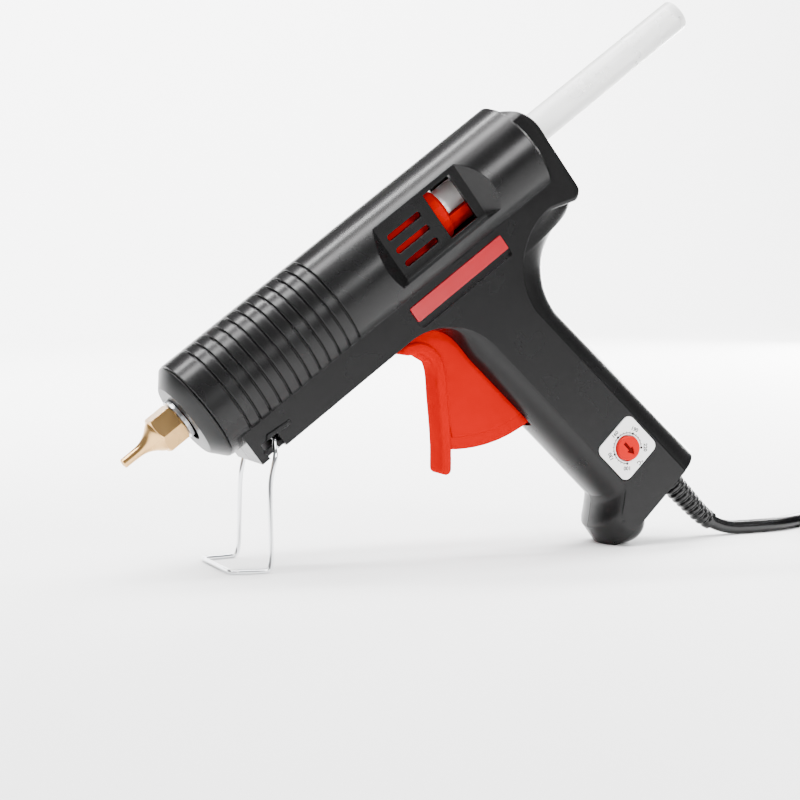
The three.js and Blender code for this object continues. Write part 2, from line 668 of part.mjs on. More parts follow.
function buildReturnSpring() {
  const coilRadius = 1.9;
  const turns = 6;
  const perTurn = 6;
  const front = 101.8;
  const rear = 116.8;
  const points = [];
  for (let i = 0; i <= turns * perTurn; i += 1) {
    const angle = (i / perTurn) * 2 * Math.PI;
    const x = THREE.MathUtils.lerp(front, rear, i / (turns * perTurn));
    points.push([x, coilRadius * Math.sin(angle), ROD.z + coilRadius * Math.cos(angle)]);
  }
  add('return_spring', bar(points, 0.3, turns * perTurn, 2), steel);
}

// ---------------------------------------------------------------- trigger

function buildTrigger() {
  const polar = (radius, degrees) => {
    const angle = THREE.MathUtils.degToRad(degrees);
    return [PIVOT.x + radius * Math.cos(angle), PIVOT.z + radius * Math.sin(angle)];
  };
  const sector = (radius) => {
    const shape = new THREE.Shape();
    const [startX, startZ] = polar(23, 174);
    shape.moveTo(startX, startZ);
    shape.lineTo(104, -42);
    shape.lineTo(...polar(radius, 231));
    shape.absarc(PIVOT.x, PIVOT.z, radius, THREE.MathUtils.degToRad(231), THREE.MathUtils.degToRad(271));
    shape.lineTo(PIVOT.x + 5.8, PIVOT.z);
    shape.lineTo(PIVOT.x, PIVOT.z + 5.8);
    return shape;
  };
  const plate = solid(across(sector(TRIGGER_RIM), -TRIGGER_HALF, TRIGGER_HALF));
  const rim = solid(across(sector(TRIGGER_REACH), -TRIGGER_HALF + 0.35, TRIGGER_HALF - 0.35));
  const hub = solid(rodY(PIVOT.x, PIVOT.z, -TRIGGER_HALF, TRIGGER_HALF, 6, 24));
  const armShape = stroke([[PIVOT.x, PIVOT.z], [(PIVOT.x + ARM_END.x) / 2, (PIVOT.z + ARM_END.z) / 2],
    [ARM_END.x, ARM_END.z]], 2.3, 4);
  const arm = solid(across(armShape, -3, 3));
  const flangeLine = [
    [98.6, -30.4], [102.6, -32.6], [104.7, -36.6], [104.3, -41.6], [98.4, -51.8], [90, -65.2], [85.3, -71.6],
  ];
  const flange = solid(across(stroke(flangeLine, 1.9, 14), -5.6, 5.6, 0.9, 1));
  const holes = solid(rodY(PIVOT.x, PIVOT.z, -8, 8, 2 + GAP, 16)).add(
    solid(rodY(ARM_END.x, ARM_END.z, -8, 8, 1.5 + 0.02, 12)));
  addSolid('trigger', sumOf([plate, rim, hub, arm, flange]).subtract(holes), redPlastic);
  add('trigger_pin', rodY(PIVOT.x, PIVOT.z, -HALF_WIDTH + 2, HALF_WIDTH - 2, 2, 16), steel);
  add('drive_pin', rodY(ARM_END.x, ARM_END.z, -6.6, 6.6, 1.5 - GAP + 0.1, 12), steel);
}

// ---------------------------------------------------------------- indicator, dial and electrics

function buildIndicator() {
  const middle = (BAR.front + BAR.rear) / 2;
  const z = BAR.top - BAR.height / 2 - GAP;
  [['left', -1], ['right', 1]].forEach(([name, side]) => {
    const shape = roundedRectangle(middle, z, BAR.rear - BAR.front - 2 * GAP, BAR.height, 0.4);
    const ends = [side * (HALF_WIDTH - BAR.depth + GAP), side * (HALF_WIDTH + 0.3)].sort((a, b) => a - b);
    add(`indicator_bar_${name}`, across(shape, ends[0], ends[1]), crimsonLens);
  });
  add('indicator_lamp', rodX(98.5, 110, 2, 14, -18.6), ceramic);
}

function buildDial() {
  const angle = Math.atan(HANDLE_LEAN);
  const face = -HALF_WIDTH;
  const plate = solid(across(
    roundedRectangle(LABEL.x, LABEL.z, LABEL.width, LABEL.length, LABEL.corner, angle),
    face - 0.2, face + LABEL.depth - GAP));
  const hole = solid(rodY(LABEL.x, LABEL.z, face - 2, face + 4, KNOB_RADIUS + 0.4, 24));
  addSolid('label_plate', plate.subtract(hole), labelWhite);

  const knob = solid(rodY(LABEL.x, LABEL.z, face - 1.6, face + 2.2, KNOB_RADIUS, 28));
  const socket = solid(rodY(LABEL.x, LABEL.z, face + 0.6, face + 4, 1.9 + GAP, 12));
  addSolid('temperature_knob', knob.subtract(socket), knobRed);

  const can = solid(rodY(LABEL.x, LABEL.z, face + 2.6, face + 8.6, 7, 20));
  const shaft = solid(rodY(LABEL.x, LABEL.z, face + 1, face + 3, 1.9, 12));
  addSolid('dial_potentiometer', can.add(shaft), aluminium);

  const board = across(roundedRectangle(LABEL.x - 2, LABEL.z + 12, 16, 27, 1, angle), -4, -2.4);
  add('control_board', board, boardGreen);
}

function buildElectrics() {
  const sinkX = 134.6;
  const base = solid(box([sinkX - 5.5, -2, -98], [sinkX + 5.5, 0, -84]));
  const fins = [-5, -1.6, 1.8].map((offset) =>
    solid(box([sinkX + offset, -1, -98], [sinkX + offset + 1.4, 7, -84])));
  addSolid('triac_heatsink', sumOf([base, ...fins]), aluminium);

  const screwWells = [-2.6, 2.6].map((offset) => solid(rodY(138.5 + offset, -109.5, 4, 12, 1.6, 12)));
  const block = solid(box([133.4, -1.6, -114], [143.6, 6, -105]));
  addSolid('terminal_block', block.subtract(sumOf(screwWells)), ceramic);

  const clampZ = -117.6;
  const clampX = 149.4;
  const strap = box([clampX - 7.6, -4.6, clampZ - 2.2], [clampX + 4.6, -3.2, clampZ + 2.2]);
  const screwHole = solid(rodY(clampX - 5.6, clampZ, -6, 0, 1.3, 12));
  addSolid('cord_clamp', solid(strap).subtract(screwHole), steel);
  const shank = solid(rodY(clampX - 5.6, clampZ, -5, 3, 1, 10));
  addSolid('cord_clamp_screw', shank.add(solid(rodY(clampX - 5.6, clampZ, -6.4, -4.9, 2.2, 12))), steel);

  add('cord_inner_end', alongHandle(-16, -7 - GAP, CORD_RADIUS, 12), cordRubber);

  [1, 2].forEach((number) => {
    const side = number === 1 ? -1 : 1;
    const route = [
      [74.4, side * 3, -12], [84, side * 5.8, -13], [95, side * 8.2, -14], [108, side * 8.8, -16],
      [121, side * 8.8, -20.5], [132, side * 8.8, -27], [137.5, side * 8.6, -42], [137.5, side * 8, -60],
      [140.5, side * 6.8, -76],
    ];
    add(`heater_lead_${number}`, bar(route, 0.9, 16, 3), leadSleeve);
  });
}

// ---------------------------------------------------------------- wire stand, drawn standing

function buildStand(parent) {
  const half = [
    [0, 7.4, 0], [0, 11.2, 0], [-0.3, 12.6, -1.6], [-0.9, 14.9, -5], [-2.8, 15.4, -14],
    [-3.7, 17.2, -41.0], [-4.6, 17.3, -42.1], [-6, 17.2, -42.3], [-13.6, 15.8, -42.3], [-15.6, 15.4, -42.3],
    [-16.4, 14.2, -42.3], [-16.5, 12, -42.3],
  ];
  const foot = PIVOT_HEIGHT - WIRE_RADIUS;
  const levelled = half.map(([x, y, z]) => [x, y, z < -42 ? -foot : z]);
  const near = levelled.map(([x, y, z]) => [x, -y, z]);
  const far = levelled.reverse();
  add('stand_wire', bar([...near, [-16.5, 0, -foot], ...far], WIRE_RADIUS, 44, 4), chrome, parent);
}

// ---------------------------------------------------------------- cord, drawn standing

// The boot and the cord leave along the handle, then bend level with the surface they lie on.
function cordStart() {
  const start = bootStart.clone().applyMatrix4(gunFrame.matrix);
  const direction = handleDirection.clone().transformDirection(gunFrame.matrix);
  const slope = Math.atan2(-direction.z, direction.x);
  const drop = start.z - CORD_RADIUS - CORD_BEND * (1 - Math.cos(slope));
  const straight = drop / Math.sin(slope);
  const at = (distance) => {
    if (distance <= straight) {
      return new THREE.Vector3(
        start.x + distance * Math.cos(slope), 0, start.z - distance * Math.sin(slope));
    }
    const bend = Math.min(slope, (distance - straight) / CORD_BEND);
    const x = start.x + straight * Math.cos(slope) + CORD_BEND * (Math.sin(slope) - Math.sin(slope - bend));
    const z = start.z - straight * Math.sin(slope) - CORD_BEND * (Math.cos(slope - bend) - Math.cos(slope));
    return new THREE.Vector3(x, 0, z);
  };
  return { at, levelAt: straight + CORD_BEND * slope };
}

function buildCord(parent) {
  const { at, levelAt } = cordStart();
  buildBoot(at, parent);

  const bootEnd = BOOT.length + GAP;
  const route = [];
  const bendSteps = 5;
  for (let step = 0; step <= bendSteps; step += 1) {
    route.push(at(THREE.MathUtils.lerp(bootEnd, levelAt, step / bendSteps)).toArray());
  }
  const lying = [[59, 0], [68, 1.4], [76, 4.6], [82, 8]];
  lying.forEach(([x, y]) => route.push([TOE_FROM_ORIGIN + x, y, CORD_RADIUS]));
  add('cord_run', bar(route, CORD_RADIUS, 14, 5), cordRubber, parent);
  buildHank(parent);
}

function buildBoot(at, parent) {
  const steps = 8;
  const sides = 12;
  const geometry = new THREE.CylinderGeometry(1, 1, 1, sides, steps);
  const position = geometry.attributes.position;
  for (let i = 0; i < position.count; i += 1) {
    const share = 0.5 - position.getY(i);
    const distance = share * BOOT.length;
    const centre = at(distance);
    const ahead = at(distance + 0.5).sub(centre).normalize();
    const up = new THREE.Vector3(0, 1, 0);
    const out = new THREE.Vector3().crossVectors(ahead, up);
    const radius = THREE.MathUtils.lerp(BOOT.radius, BOOT.tipRadius, share);
    centre.addScaledVector(up, position.getX(i) * radius).addScaledVector(out, position.getZ(i) * radius);
    position.setXYZ(i, centre.x, centre.y, centre.z);
  }
  const toWorld = (piece) => piece.applyMatrix4(gunFrame.matrix);
  const boot = solid(geometry);
  const outer = boot.volume() > 0 ? boot : solid(flipped(geometry));
  const neck = solid(toWorld(alongHandle(-7, 1.2, 3.7)));
  const flange = solid(toWorld(alongHandle(-4.6, -2.9, 5.2)));
  const flush = solid(toWorld(alongHandle(-2, GAP, 6))).subtract(solid(toWorld(alongHandle(-3, 1, 3.75))));
  addSolid('strain_relief', outer.subtract(flush).add(neck).add(flange), cordRubber, parent);
}

// An outline with straight sides along x and round ends.
function roundEnded(radius, steps) {
  const outline = new THREE.Path();
  outline.absarc(HANK.rear, HANK.y, radius, -Math.PI / 2, Math.PI / 2);
  outline.absarc(HANK.front, HANK.y, radius, Math.PI / 2, Math.PI * 1.5);
  return outline.getPoints(steps).slice(0, -1);
}

// The cord's length that is put away: a tied hank, and the plug that lies on it.
function buildHank(parent) {
  const edge = 2;
  const ring = new THREE.Shape(roundEnded(HANK.outer - edge, 12));
  ring.holes.push(new THREE.Path(roundEnded(HANK.inner + edge, 10).reverse()));
  const hank = new THREE.ExtrudeGeometry(ring, {
    depth: HANK.height - 2 * edge, bevelThickness: edge, bevelSize: edge, bevelSegments: 2,
  });
  hank.translate(0, 0, HANK.bottom + edge);
  add('cord_hank', hank, cordRubber, parent);

  const strap = (grow, spread) => box(
    [TIE.x - TIE.width / 2 - grow, HANK.y + HANK.inner - spread, HANK.bottom - spread],
    [TIE.x + TIE.width / 2 + grow, HANK.y + HANK.outer + spread, HANK.bottom + HANK.height + spread]);
  addSolid('hank_tie', solid(strap(0, 1)).subtract(solid(strap(1, GAP + 0.1))), cordRubber, parent);
  buildPlug(parent);
}

// A flat two-pin plug, lying on the hank with its pins towards -x.
function buildPlug(parent) {
  const plug = new THREE.Group();
  plug.position.set(PLUG.rear, PLUG.y, HANK.bottom + HANK.height + GAP);
  plug.rotation.z = Math.PI;
  parent.add(plug);
  const edge = 1.5;
  const neck = 3.6;
  const grip = 20;
  const shape = new THREE.Shape();
  shape.moveTo(0, -neck);
  shape.lineTo(grip, -PLUG.width / 2);
  shape.lineTo(PLUG.length, -PLUG.width / 2);
  shape.lineTo(PLUG.length, PLUG.width / 2);
  shape.lineTo(grip, PLUG.width / 2);
  shape.lineTo(0, neck);
  const body = new THREE.ExtrudeGeometry(shape, {
    depth: PLUG.thickness - 2 * edge,
    bevelThickness: edge,
    bevelSize: edge,
    bevelOffset: -edge,
    bevelSegments: 2,
  });
  body.translate(0, 0, edge);
  add('plug_body', body, cordRubber, plug);
  [-1, 1].forEach((side, i) => {
    const pin = new THREE.CylinderGeometry(PIN.radius, PIN.radius, PIN.length, 14);
    pin.rotateZ(Math.PI / 2);
    pin.translate(PLUG.length + GAP + PIN.length / 2, side * (PIN.pitch / 2), PLUG.thickness / 2);
    add(`plug_pin_${i + 1}`, pin, steel, plug);
  });
}

// ---------------------------------------------------------------- assembly

// Stand the tilted gun with its toe's flat pad on z = 0, and the middle of its footprint at x = 0.
gunFrame.rotation.y = -TILT;
gunFrame.updateMatrix();
const toeCentre = new THREE.Vector3(TOE.x, 0, TOE.z).applyMatrix4(gunFrame.matrix);
gunFrame.position.set(TOE_FROM_ORIGIN - toeCentre.x, 0, TOE.radius - TOE_PAD_DEPTH - toeCentre.z);
gunFrame.updateMatrix();

const standPivot = new THREE.Vector3(STAND.x, 0, STAND.z).applyMatrix4(gunFrame.matrix);
const PIVOT_HEIGHT = standPivot.z;
const standFrame = new THREE.Group();
standFrame.position.copy(standPivot);
glueGun.add(standFrame);

buildHousing();
buildHousingScrews();
buildHotEnd();
buildFeed();
buildTrigger();
buildIndicator();
buildDial();
buildElectrics();
buildStand(standFrame);
buildCord(glueGun);

export default glueGun;
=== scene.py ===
"""Hot-glue gun on its wire stand: the visible surfaces, materials, cord, light and camera.

The gun's parts are drawn in millimetres in the gun's own frame: x runs back from the nozzle tip along the
glue stick, z is up and y is sideways, with the dial's side at -y. GUN tilts them nose-down into the standing
frame. The cord, its plug and the wire stand are drawn in the standing frame, in millimetres as well. place()
turns every piece into metres.
"""

import json
import math

import bmesh
import bpy
from mathutils import Matrix, Vector


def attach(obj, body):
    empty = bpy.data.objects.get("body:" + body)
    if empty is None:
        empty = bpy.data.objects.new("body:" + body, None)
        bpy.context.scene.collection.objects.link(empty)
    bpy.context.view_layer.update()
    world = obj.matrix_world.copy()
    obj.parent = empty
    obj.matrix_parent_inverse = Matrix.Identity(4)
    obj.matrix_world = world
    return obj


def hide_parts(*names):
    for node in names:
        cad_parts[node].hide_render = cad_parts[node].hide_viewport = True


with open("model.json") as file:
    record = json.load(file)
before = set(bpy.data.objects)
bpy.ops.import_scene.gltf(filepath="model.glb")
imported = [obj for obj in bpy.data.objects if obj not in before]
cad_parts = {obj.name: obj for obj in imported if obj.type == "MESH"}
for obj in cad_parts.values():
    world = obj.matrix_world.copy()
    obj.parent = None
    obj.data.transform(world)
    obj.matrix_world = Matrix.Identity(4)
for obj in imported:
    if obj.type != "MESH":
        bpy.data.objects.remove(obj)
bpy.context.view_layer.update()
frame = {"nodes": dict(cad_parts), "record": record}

# -------------------- driving dimensions, in millimetres

MM = 0.001
TILT = math.radians(36.8)
HALF_WIDTH = 13
BARREL_RADIUS = 18.4
BARREL_DROP = 1.7
BARREL_FRONT = 29.4
BARREL_REAR = 172.5
BODY_REAR = 179.6
WALL = 2

KEEL_FRONT = 34
KEEL_REAR = 125
KEEL_BOTTOM = -26.3
KEEL_TOP = -5
ARCH_RADIUS = 24
ARCH_CENTRE = (98.1, KEEL_BOTTOM - ARCH_RADIUS)
HANDLE_TOP = -15
HANDLE_LOW = -134
HANDLE_LEAN = 0.153
FRONT_LINE = (121.9, -46.7)
FRONT_ROUNDING = 8.3
CREASE = 0.35
NECK_RADIUS = 25.2
NECK_CENTRE = (166.8, -46.5)
NECK_TOP = NECK_CENTRE[1] + NECK_RADIUS
NECK_LEAN = HANDLE_LEAN * 1.03
HORN_RADIUS = 24.5
HORN_CENTRE = (175.2, -53)
HORN_TOP = HORN_CENTRE[1] + HORN_RADIUS
HORN_LEAN = HANDLE_LEAN * 1.15
HORN_CORNER = 4.4
BLOCK_FRONT = 150
BLOCK_BOTTOM = -25.5
BLOCK_BOTTOM_RISE = 8
BLOCK_TOP = 16
BLOCK_UPPER_CORNER = 14
BLOCK_LOWER_CORNER = 4
BLOCK_EDGE = 1.5
BLOCK_ROUND_RADIUS = 17.6

TOE = (127, -128.7)
TOE_RADIUS = 8.8
TOE_END_RADIUS = 2.5
TOE_PAD_DEPTH = 0.3
TOE_TOP = -116.5
TOE_BOTTOM = -124
TOE_FRONT_X = 125
TOE_FROM_ORIGIN = 76
BASE = (154.8, -127.4)
BASE_SLOPE = 0.155

RECESS = {"front": 110, "rear": 146, "bottom": -9.7, "top": 12, "depth_at": 12.8}
WINDOW = {"front": 131, "rear": 142.6, "bottom": -8, "top": 9.7}
SLOT = {"front": 112.5, "rear": 126.9, "height": 2.2, "pitch": 5.3, "first": -5}
GROOVE = {"first": 38, "count": 12, "pitch": 4.27, "depth": 0.75}
BAR = {"front": 104.5, "rear": 145.9, "top": -17.2, "pocket": 8.4, "depth": 1.3}
LABEL = (140.8, -106.2)
LABEL_WIDTH = 17.8
LABEL_LENGTH = 16.4
LABEL_CORNER = 2.6
LABEL_TURN = math.atan(HANDLE_LEAN)
KNOB_RADIUS = 4.3

TRIGGER_PIVOT = (121, -30.7)
TRIGGER_HALF = 4.4
TRIGGER_RIM = 43.2
TRIGGER_REACH = 47.4

STAND_PIVOT = (42.6, -22.4)
WIRE_RADIUS = 0.8

CORD_RADIUS = 2.5
CORD_BEND = 25
BOOT_X = 151.3
BOOT_LENGTH = 27
BOOT_RIBS = 11
HANK_FRONT = 184
HANK_REAR = 218
HANK_Y = -9
HANK_OUTER = 25
HANK_INNER = 15
LAYER_RISE = 5
FIRST_LAYER = 3.3
TIE_X = 196
HANK_TURNS = 6.5
PLUG_AT = (204, -24, 22.7)
PLUG_LENGTH = 34
PLUG_HALF_WIDTH = 13
PLUG_THICKNESS = 13.4


def gun_matrix():
    """The tilt, then the shift that rests the toe's pad on the floor at its distance from the origin."""
    tilt = Matrix.Rotation(-TILT, 4, "Y")
    toe = tilt @ Vector((TOE[0], 0, TOE[1]))
    shift = Vector((TOE_FROM_ORIGIN - toe.x, 0, TOE_RADIUS - TOE_PAD_DEPTH - toe.z))
    return Matrix.Translation(shift) @ tilt


GUN = gun_matrix()
STANDING = Matrix.Identity(4)
TO_METRES = Matrix.Scale(MM, 4)


# -------------------- camera

def make_camera():
    """A long lens, low down and turned a little towards the nozzle."""
    data = bpy.data.cameras.new("camera")
    data.sensor_width = 36
    data.lens = 92.7
    camera = bpy.data.objects.new("camera", data)
    bpy.context.scene.collection.objects.link(camera)
    azimuth = math.radians(-22.4)
    elevation = math.radians(4.8)
    back = Vector((
        math.sin(azimuth) * math.cos(elevation),
        -math.cos(azimuth) * math.cos(elevation),
        math.sin(elevation),
    ))
    camera.location = Vector((TOE_FROM_ORIGIN - 347.0, -641.6, 111.4)) * MM
    camera.rotation_euler = back.to_track_quat("Z", "Y").to_euler()
    bpy.context.scene.camera = camera


make_camera()


# -------------------- helpers: lines and outlines

def lerp(a, b, share):
    return a + (b - a) * share


def smoothstep(value, low, high):
    share = min(1.0, max(0.0, (value - low) / (high - low)))
    return share * share * (3 - 2 * share)


def smooth_line(points, per_span):
    """A centripetal Catmull-Rom line through the points."""
    knots = [Vector(point) for point in points]
    knots = [2 * knots[0] - knots[1], *knots, 2 * knots[-1] - knots[-2]]
    line = []
    for i in range(1, len(knots) - 2):
        p0, p1, p2, p3 = knots[i - 1:i + 3]
        t1 = (p1 - p0).length ** 0.5
        t2 = t1 + (p2 - p1).length ** 0.5
        t3 = t2 + (p3 - p2).length ** 0.5
        for step in range(per_span):
            t = lerp(t1, t2, step / per_span)
            a1 = p0 * ((t1 - t) / t1) + p1 * (t / t1)
            a2 = p1 * ((t2 - t) / (t2 - t1)) + p2 * ((t - t1) / (t2 - t1))
            a3 = p2 * ((t3 - t) / (t3 - t2)) + p3 * ((t - t2) / (t3 - t2))
            b1 = a1 * ((t2 - t) / t2) + a2 * (t / t2)
            b2 = a2 * ((t3 - t) / (t3 - t1)) + a3 * ((t - t1) / (t3 - t1))
            line.append(b1 * ((t2 - t) / (t2 - t1)) + b2 * ((t - t1) / (t2 - t1)))
    line.append(knots[-2])
    return line


def polar(centre, radius, degrees):
    """A point by its distance and angle from a centre."""
    turn = math.radians(degrees)
    return (centre[0] + radius * math.cos(turn), centre[1] + radius * math.sin(turn))


def arc(centre, radius, start, end, steps):
    """Points on a circle from one angle to another, in degrees."""
    return [polar(centre, radius, lerp(start, end, i / steps)) for i in range(steps + 1)]


def circle(centre, radius, segments):
    """All the points of a circle, each once."""
    return arc(centre, radius, 0, 360 - 360 / segments, segments - 1)


def headings(line):
    """The direction of a line at each of its points."""
    last = len(line) - 1
    return [(line[min(i + 1, last)] - line[max(i - 1, 0)]).normalized() for i in range(last + 1)]


def rounded_rectangle(centre, width, height, radius, angle=0.0, steps=6):
    """A rectangle with round corners, turned by an angle in radians."""
    outline = []
    corners = [(1, 1), (-1, 1), (-1, -1), (1, -1)]
    for index, (side_x, side_z) in enumerate(corners):
        middle = (side_x * (width / 2 - radius), side_z * (height / 2 - radius))
        outline += arc(middle, radius, 90 * index, 90 * index + 90, steps)
    turn = Matrix.Rotation(angle, 2)
    return [tuple(turn @ Vector(point) + Vector(centre)) for point in outline]


def stroke(points, half_width, per_span):
    """A band of even width along a smooth line, with round ends, as an outline."""
    line = smooth_line([(x, z, 0) for x, z in points], per_span)
    ahead = headings(line)

    def offset(index, degrees):
        arm = Matrix.Rotation(math.radians(degrees), 3, "Z") @ ahead[index]
        point = line[index] + arm * half_width
        return (point.x, point.y)

    last = len(line) - 1
    return (
        [offset(i, 90) for i in range(last + 1)]
        + [offset(last, degrees) for degrees in (60, 30, 0, -30, -60)]
        + [offset(i, -90) for i in range(last, -1, -1)]
        + [offset(0, degrees) for degrees in (-120, -150, 180, 150, 120)]
    )


def inset(outline, amount):
    """The outline moved inwards by an even amount; it runs anticlockwise."""
    moved = []
    for i, point in enumerate(outline):
        before = (Vector(point) - Vector(outline[i - 1])).normalized()
        after = (Vector(outline[(i + 1) % len(outline)]) - Vector(point)).normalized()
        inward = Vector((-before.y, before.x)) + Vector((-after.y, after.x))
        inward.normalize()
        cosine = max(0.4, inward.dot(Vector((-after.y, after.x))))
        moved.append(tuple(Vector(point) + inward * (amount / cosine)))
    return moved


def anticlockwise(outline):
    """The outline, reversed if it runs clockwise."""
    pairs = zip([outline[-1], *outline], outline)
    area = sum(before[0] * point[1] - point[0] * before[1] for before, point in pairs)
    return outline if area > 0 else outline[::-1]


def rounded_layers(low, high, rounding, steps):
    """Levels through a flat piece, each with the inset that rounds the piece's edges."""
    layers = []
    for i in range(steps, -1, -1):
        turn = math.pi / 2 * i / steps
        layers.append((low + rounding * (1 - math.sin(turn)), rounding * (1 - math.cos(turn))))
    return layers + [(low + high - level, depth) for level, depth in reversed(layers)]


# -------------------- helpers: meshes

def add_object(name, data):
    obj = bpy.data.objects.new(name, data)
    bpy.context.scene.collection.objects.link(obj)
    return obj


def new_object(name, vertices, faces):
    """A mesh object with doubled points merged and its faces turned outwards."""
    mesh = bpy.data.meshes.new(name)
    mesh.from_pydata([tuple(vertex) for vertex in vertices], [], faces)
    mesh.update()
    editing = bmesh.new()
    editing.from_mesh(mesh)
    bmesh.ops.remove_doubles(editing, verts=editing.verts, dist=1e-4)
    bmesh.ops.recalc_face_normals(editing, faces=editing.faces)
    editing.to_mesh(mesh)
    editing.free()
    return add_object(name, mesh)


def loft(name, rings, caps=True):
    """A skin through rings that all have the same number of points, with its two ends capped."""
    count = len(rings[0])
    vertices = [point for ring in rings for point in ring]
    faces = []
    for level in range(len(rings) - 1):
        for i in range(count):
            a = level * count + i
            b = level * count + (i + 1) % count
            faces.append((a, b, b + count, a + count))
    if caps:
        faces.append(tuple(reversed(range(count))))
        faces.append(tuple(range((len(rings) - 1) * count, len(rings) * count)))
    return new_object(name, vertices, faces)


def turned(name, profile, segments=96, z=0.0):
    """A solid turned about the x axis; its (x, radius) points start and end on the axis, or together."""
    vertices = []
    faces = []
    rings = []
    for x, radius in profile:
        if radius == 0:
            rings.append([len(vertices)])
            vertices.append((x, 0, z))
            continue
        rings.append(list(range(len(vertices), len(vertices) + segments)))
        for i in range(segments):
            turn = 2 * math.pi * i / segments
            vertices.append((x, radius * math.sin(turn), z + radius * math.cos(turn)))
    if profile[0] == profile[-1]:
        rings[-1] = rings[0]
    for first, second in zip(rings, rings[1:]):
        for i in range(segments):
            j = (i + 1) % segments
            corners = [first[i % len(first)], first[j % len(first)]]
            corners += [second[j % len(second)], second[i % len(second)]]
            unique = list(dict.fromkeys(corners))
            if len(unique) > 2:
                faces.append(tuple(unique))
    return new_object(name, vertices, faces)


def prism(name, outline, y0, y1, rounding=0.0, steps=3):
    """A flat piece across the gun: an x-z outline carried from y0 to y1, with rounded edges."""
    outline = anticlockwise(outline)
    layers = rounded_layers(y0, y1, rounding, steps) if rounding else [(y0, 0), (y1, 0)]
    rings = [[(x, y, z) for x, z in inset(outline, depth)] for y, depth in layers]
    return loft(name, rings)


def box(name, low, high):
    """A block between two opposite corners."""
    outline = [(low[0], low[2]), (high[0], low[2]), (high[0], high[2]), (low[0], high[2])]
    return prism(name, outline, low[1], high[1])


def rod_across(name, x, z, y0, y1, radius, segments=48, rounding=0.0):
    """A round bar along y."""
    return prism(name, circle((x, z), radius, segments), y0, y1, rounding)


def sweep(name, line, radius_at, sides=24):
    """A round tube of changing radius along a line of points, with closed ends."""
    rings = []
    side = Vector((0, 1, 0))
    for i, (point, ahead) in enumerate(zip(line, headings(line))):
        side = (side - ahead * side.dot(ahead)).normalized()
        up = ahead.cross(side)
        radius = radius_at(i / (len(line) - 1))
        rings.append([
            point + (side * math.cos(turn) + up * math.sin(turn)) * radius
            for turn in (2 * math.pi * k / sides for k in range(sides))
        ])
    return loft(name, rings)


def apply_modifiers(obj):
    """Makes the modified shape the object's own mesh."""
    graph = bpy.context.evaluated_depsgraph_get()
    mesh = bpy.data.meshes.new_from_object(obj.evaluated_get(graph))
    old = obj.data
    obj.modifiers.clear()
    obj.data = mesh
    bpy.data.meshes.remove(old)


def combine(target, tools, operation):
    """Joins tools to the target, or cuts them from it, and removes them."""
    for tool in tools:
        modifier = target.modifiers.new("combine", "BOOLEAN")
        modifier.object = tool
        modifier.operation = operation
        modifier.solver = "EXACT"
        apply_modifiers(target)
        bpy.data.objects.remove(tool)
    return target


def union(target, *tools):
    return combine(target, tools, "UNION")


def subtract(target, *tools):
    return combine(target, tools, "DIFFERENCE")


def intersect(target, *tools):
    return combine(target, tools, "INTERSECT")


def copy_of(obj, name):
    return add_object(name, obj.data.copy())


def soften(obj, width):
    """Rounds the sharp edges by a width in the object's own units."""
    modifier = obj.modifiers.new("soften", "BEVEL")
    modifier.width = width
    modifier.segments = 2
    modifier.limit_method = "ANGLE"
    modifier.angle_limit = math.radians(35)
    modifier.harden_normals = True


def smooth(obj, angle):
    """Smooth shading, but for the edges sharper than an angle in degrees."""
    for polygon in obj.data.polygons:
        polygon.use_smooth = True
    obj.data.set_sharp_from_angle(angle=math.radians(angle))


def place(obj, matrix, body, slot, nodes=(), angle=35, finish=None):
    """Puts a piece into the standing frame in metres, with its body and its slot's material or a finish."""
    obj.data.transform(TO_METRES @ matrix)
    obj.data.update()
    smooth(obj, angle)
    obj.data.materials.clear()
    obj.data.materials.append(MATERIALS[finish or slot])
    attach(obj, body)
    if nodes:
        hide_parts(*nodes)
    return obj


# -------------------- materials

def principled(name):
    material = bpy.data.materials.new(name)
    material.use_nodes = True
    shader = material.node_tree.nodes["Principled BSDF"]
    return material, material.node_tree, shader


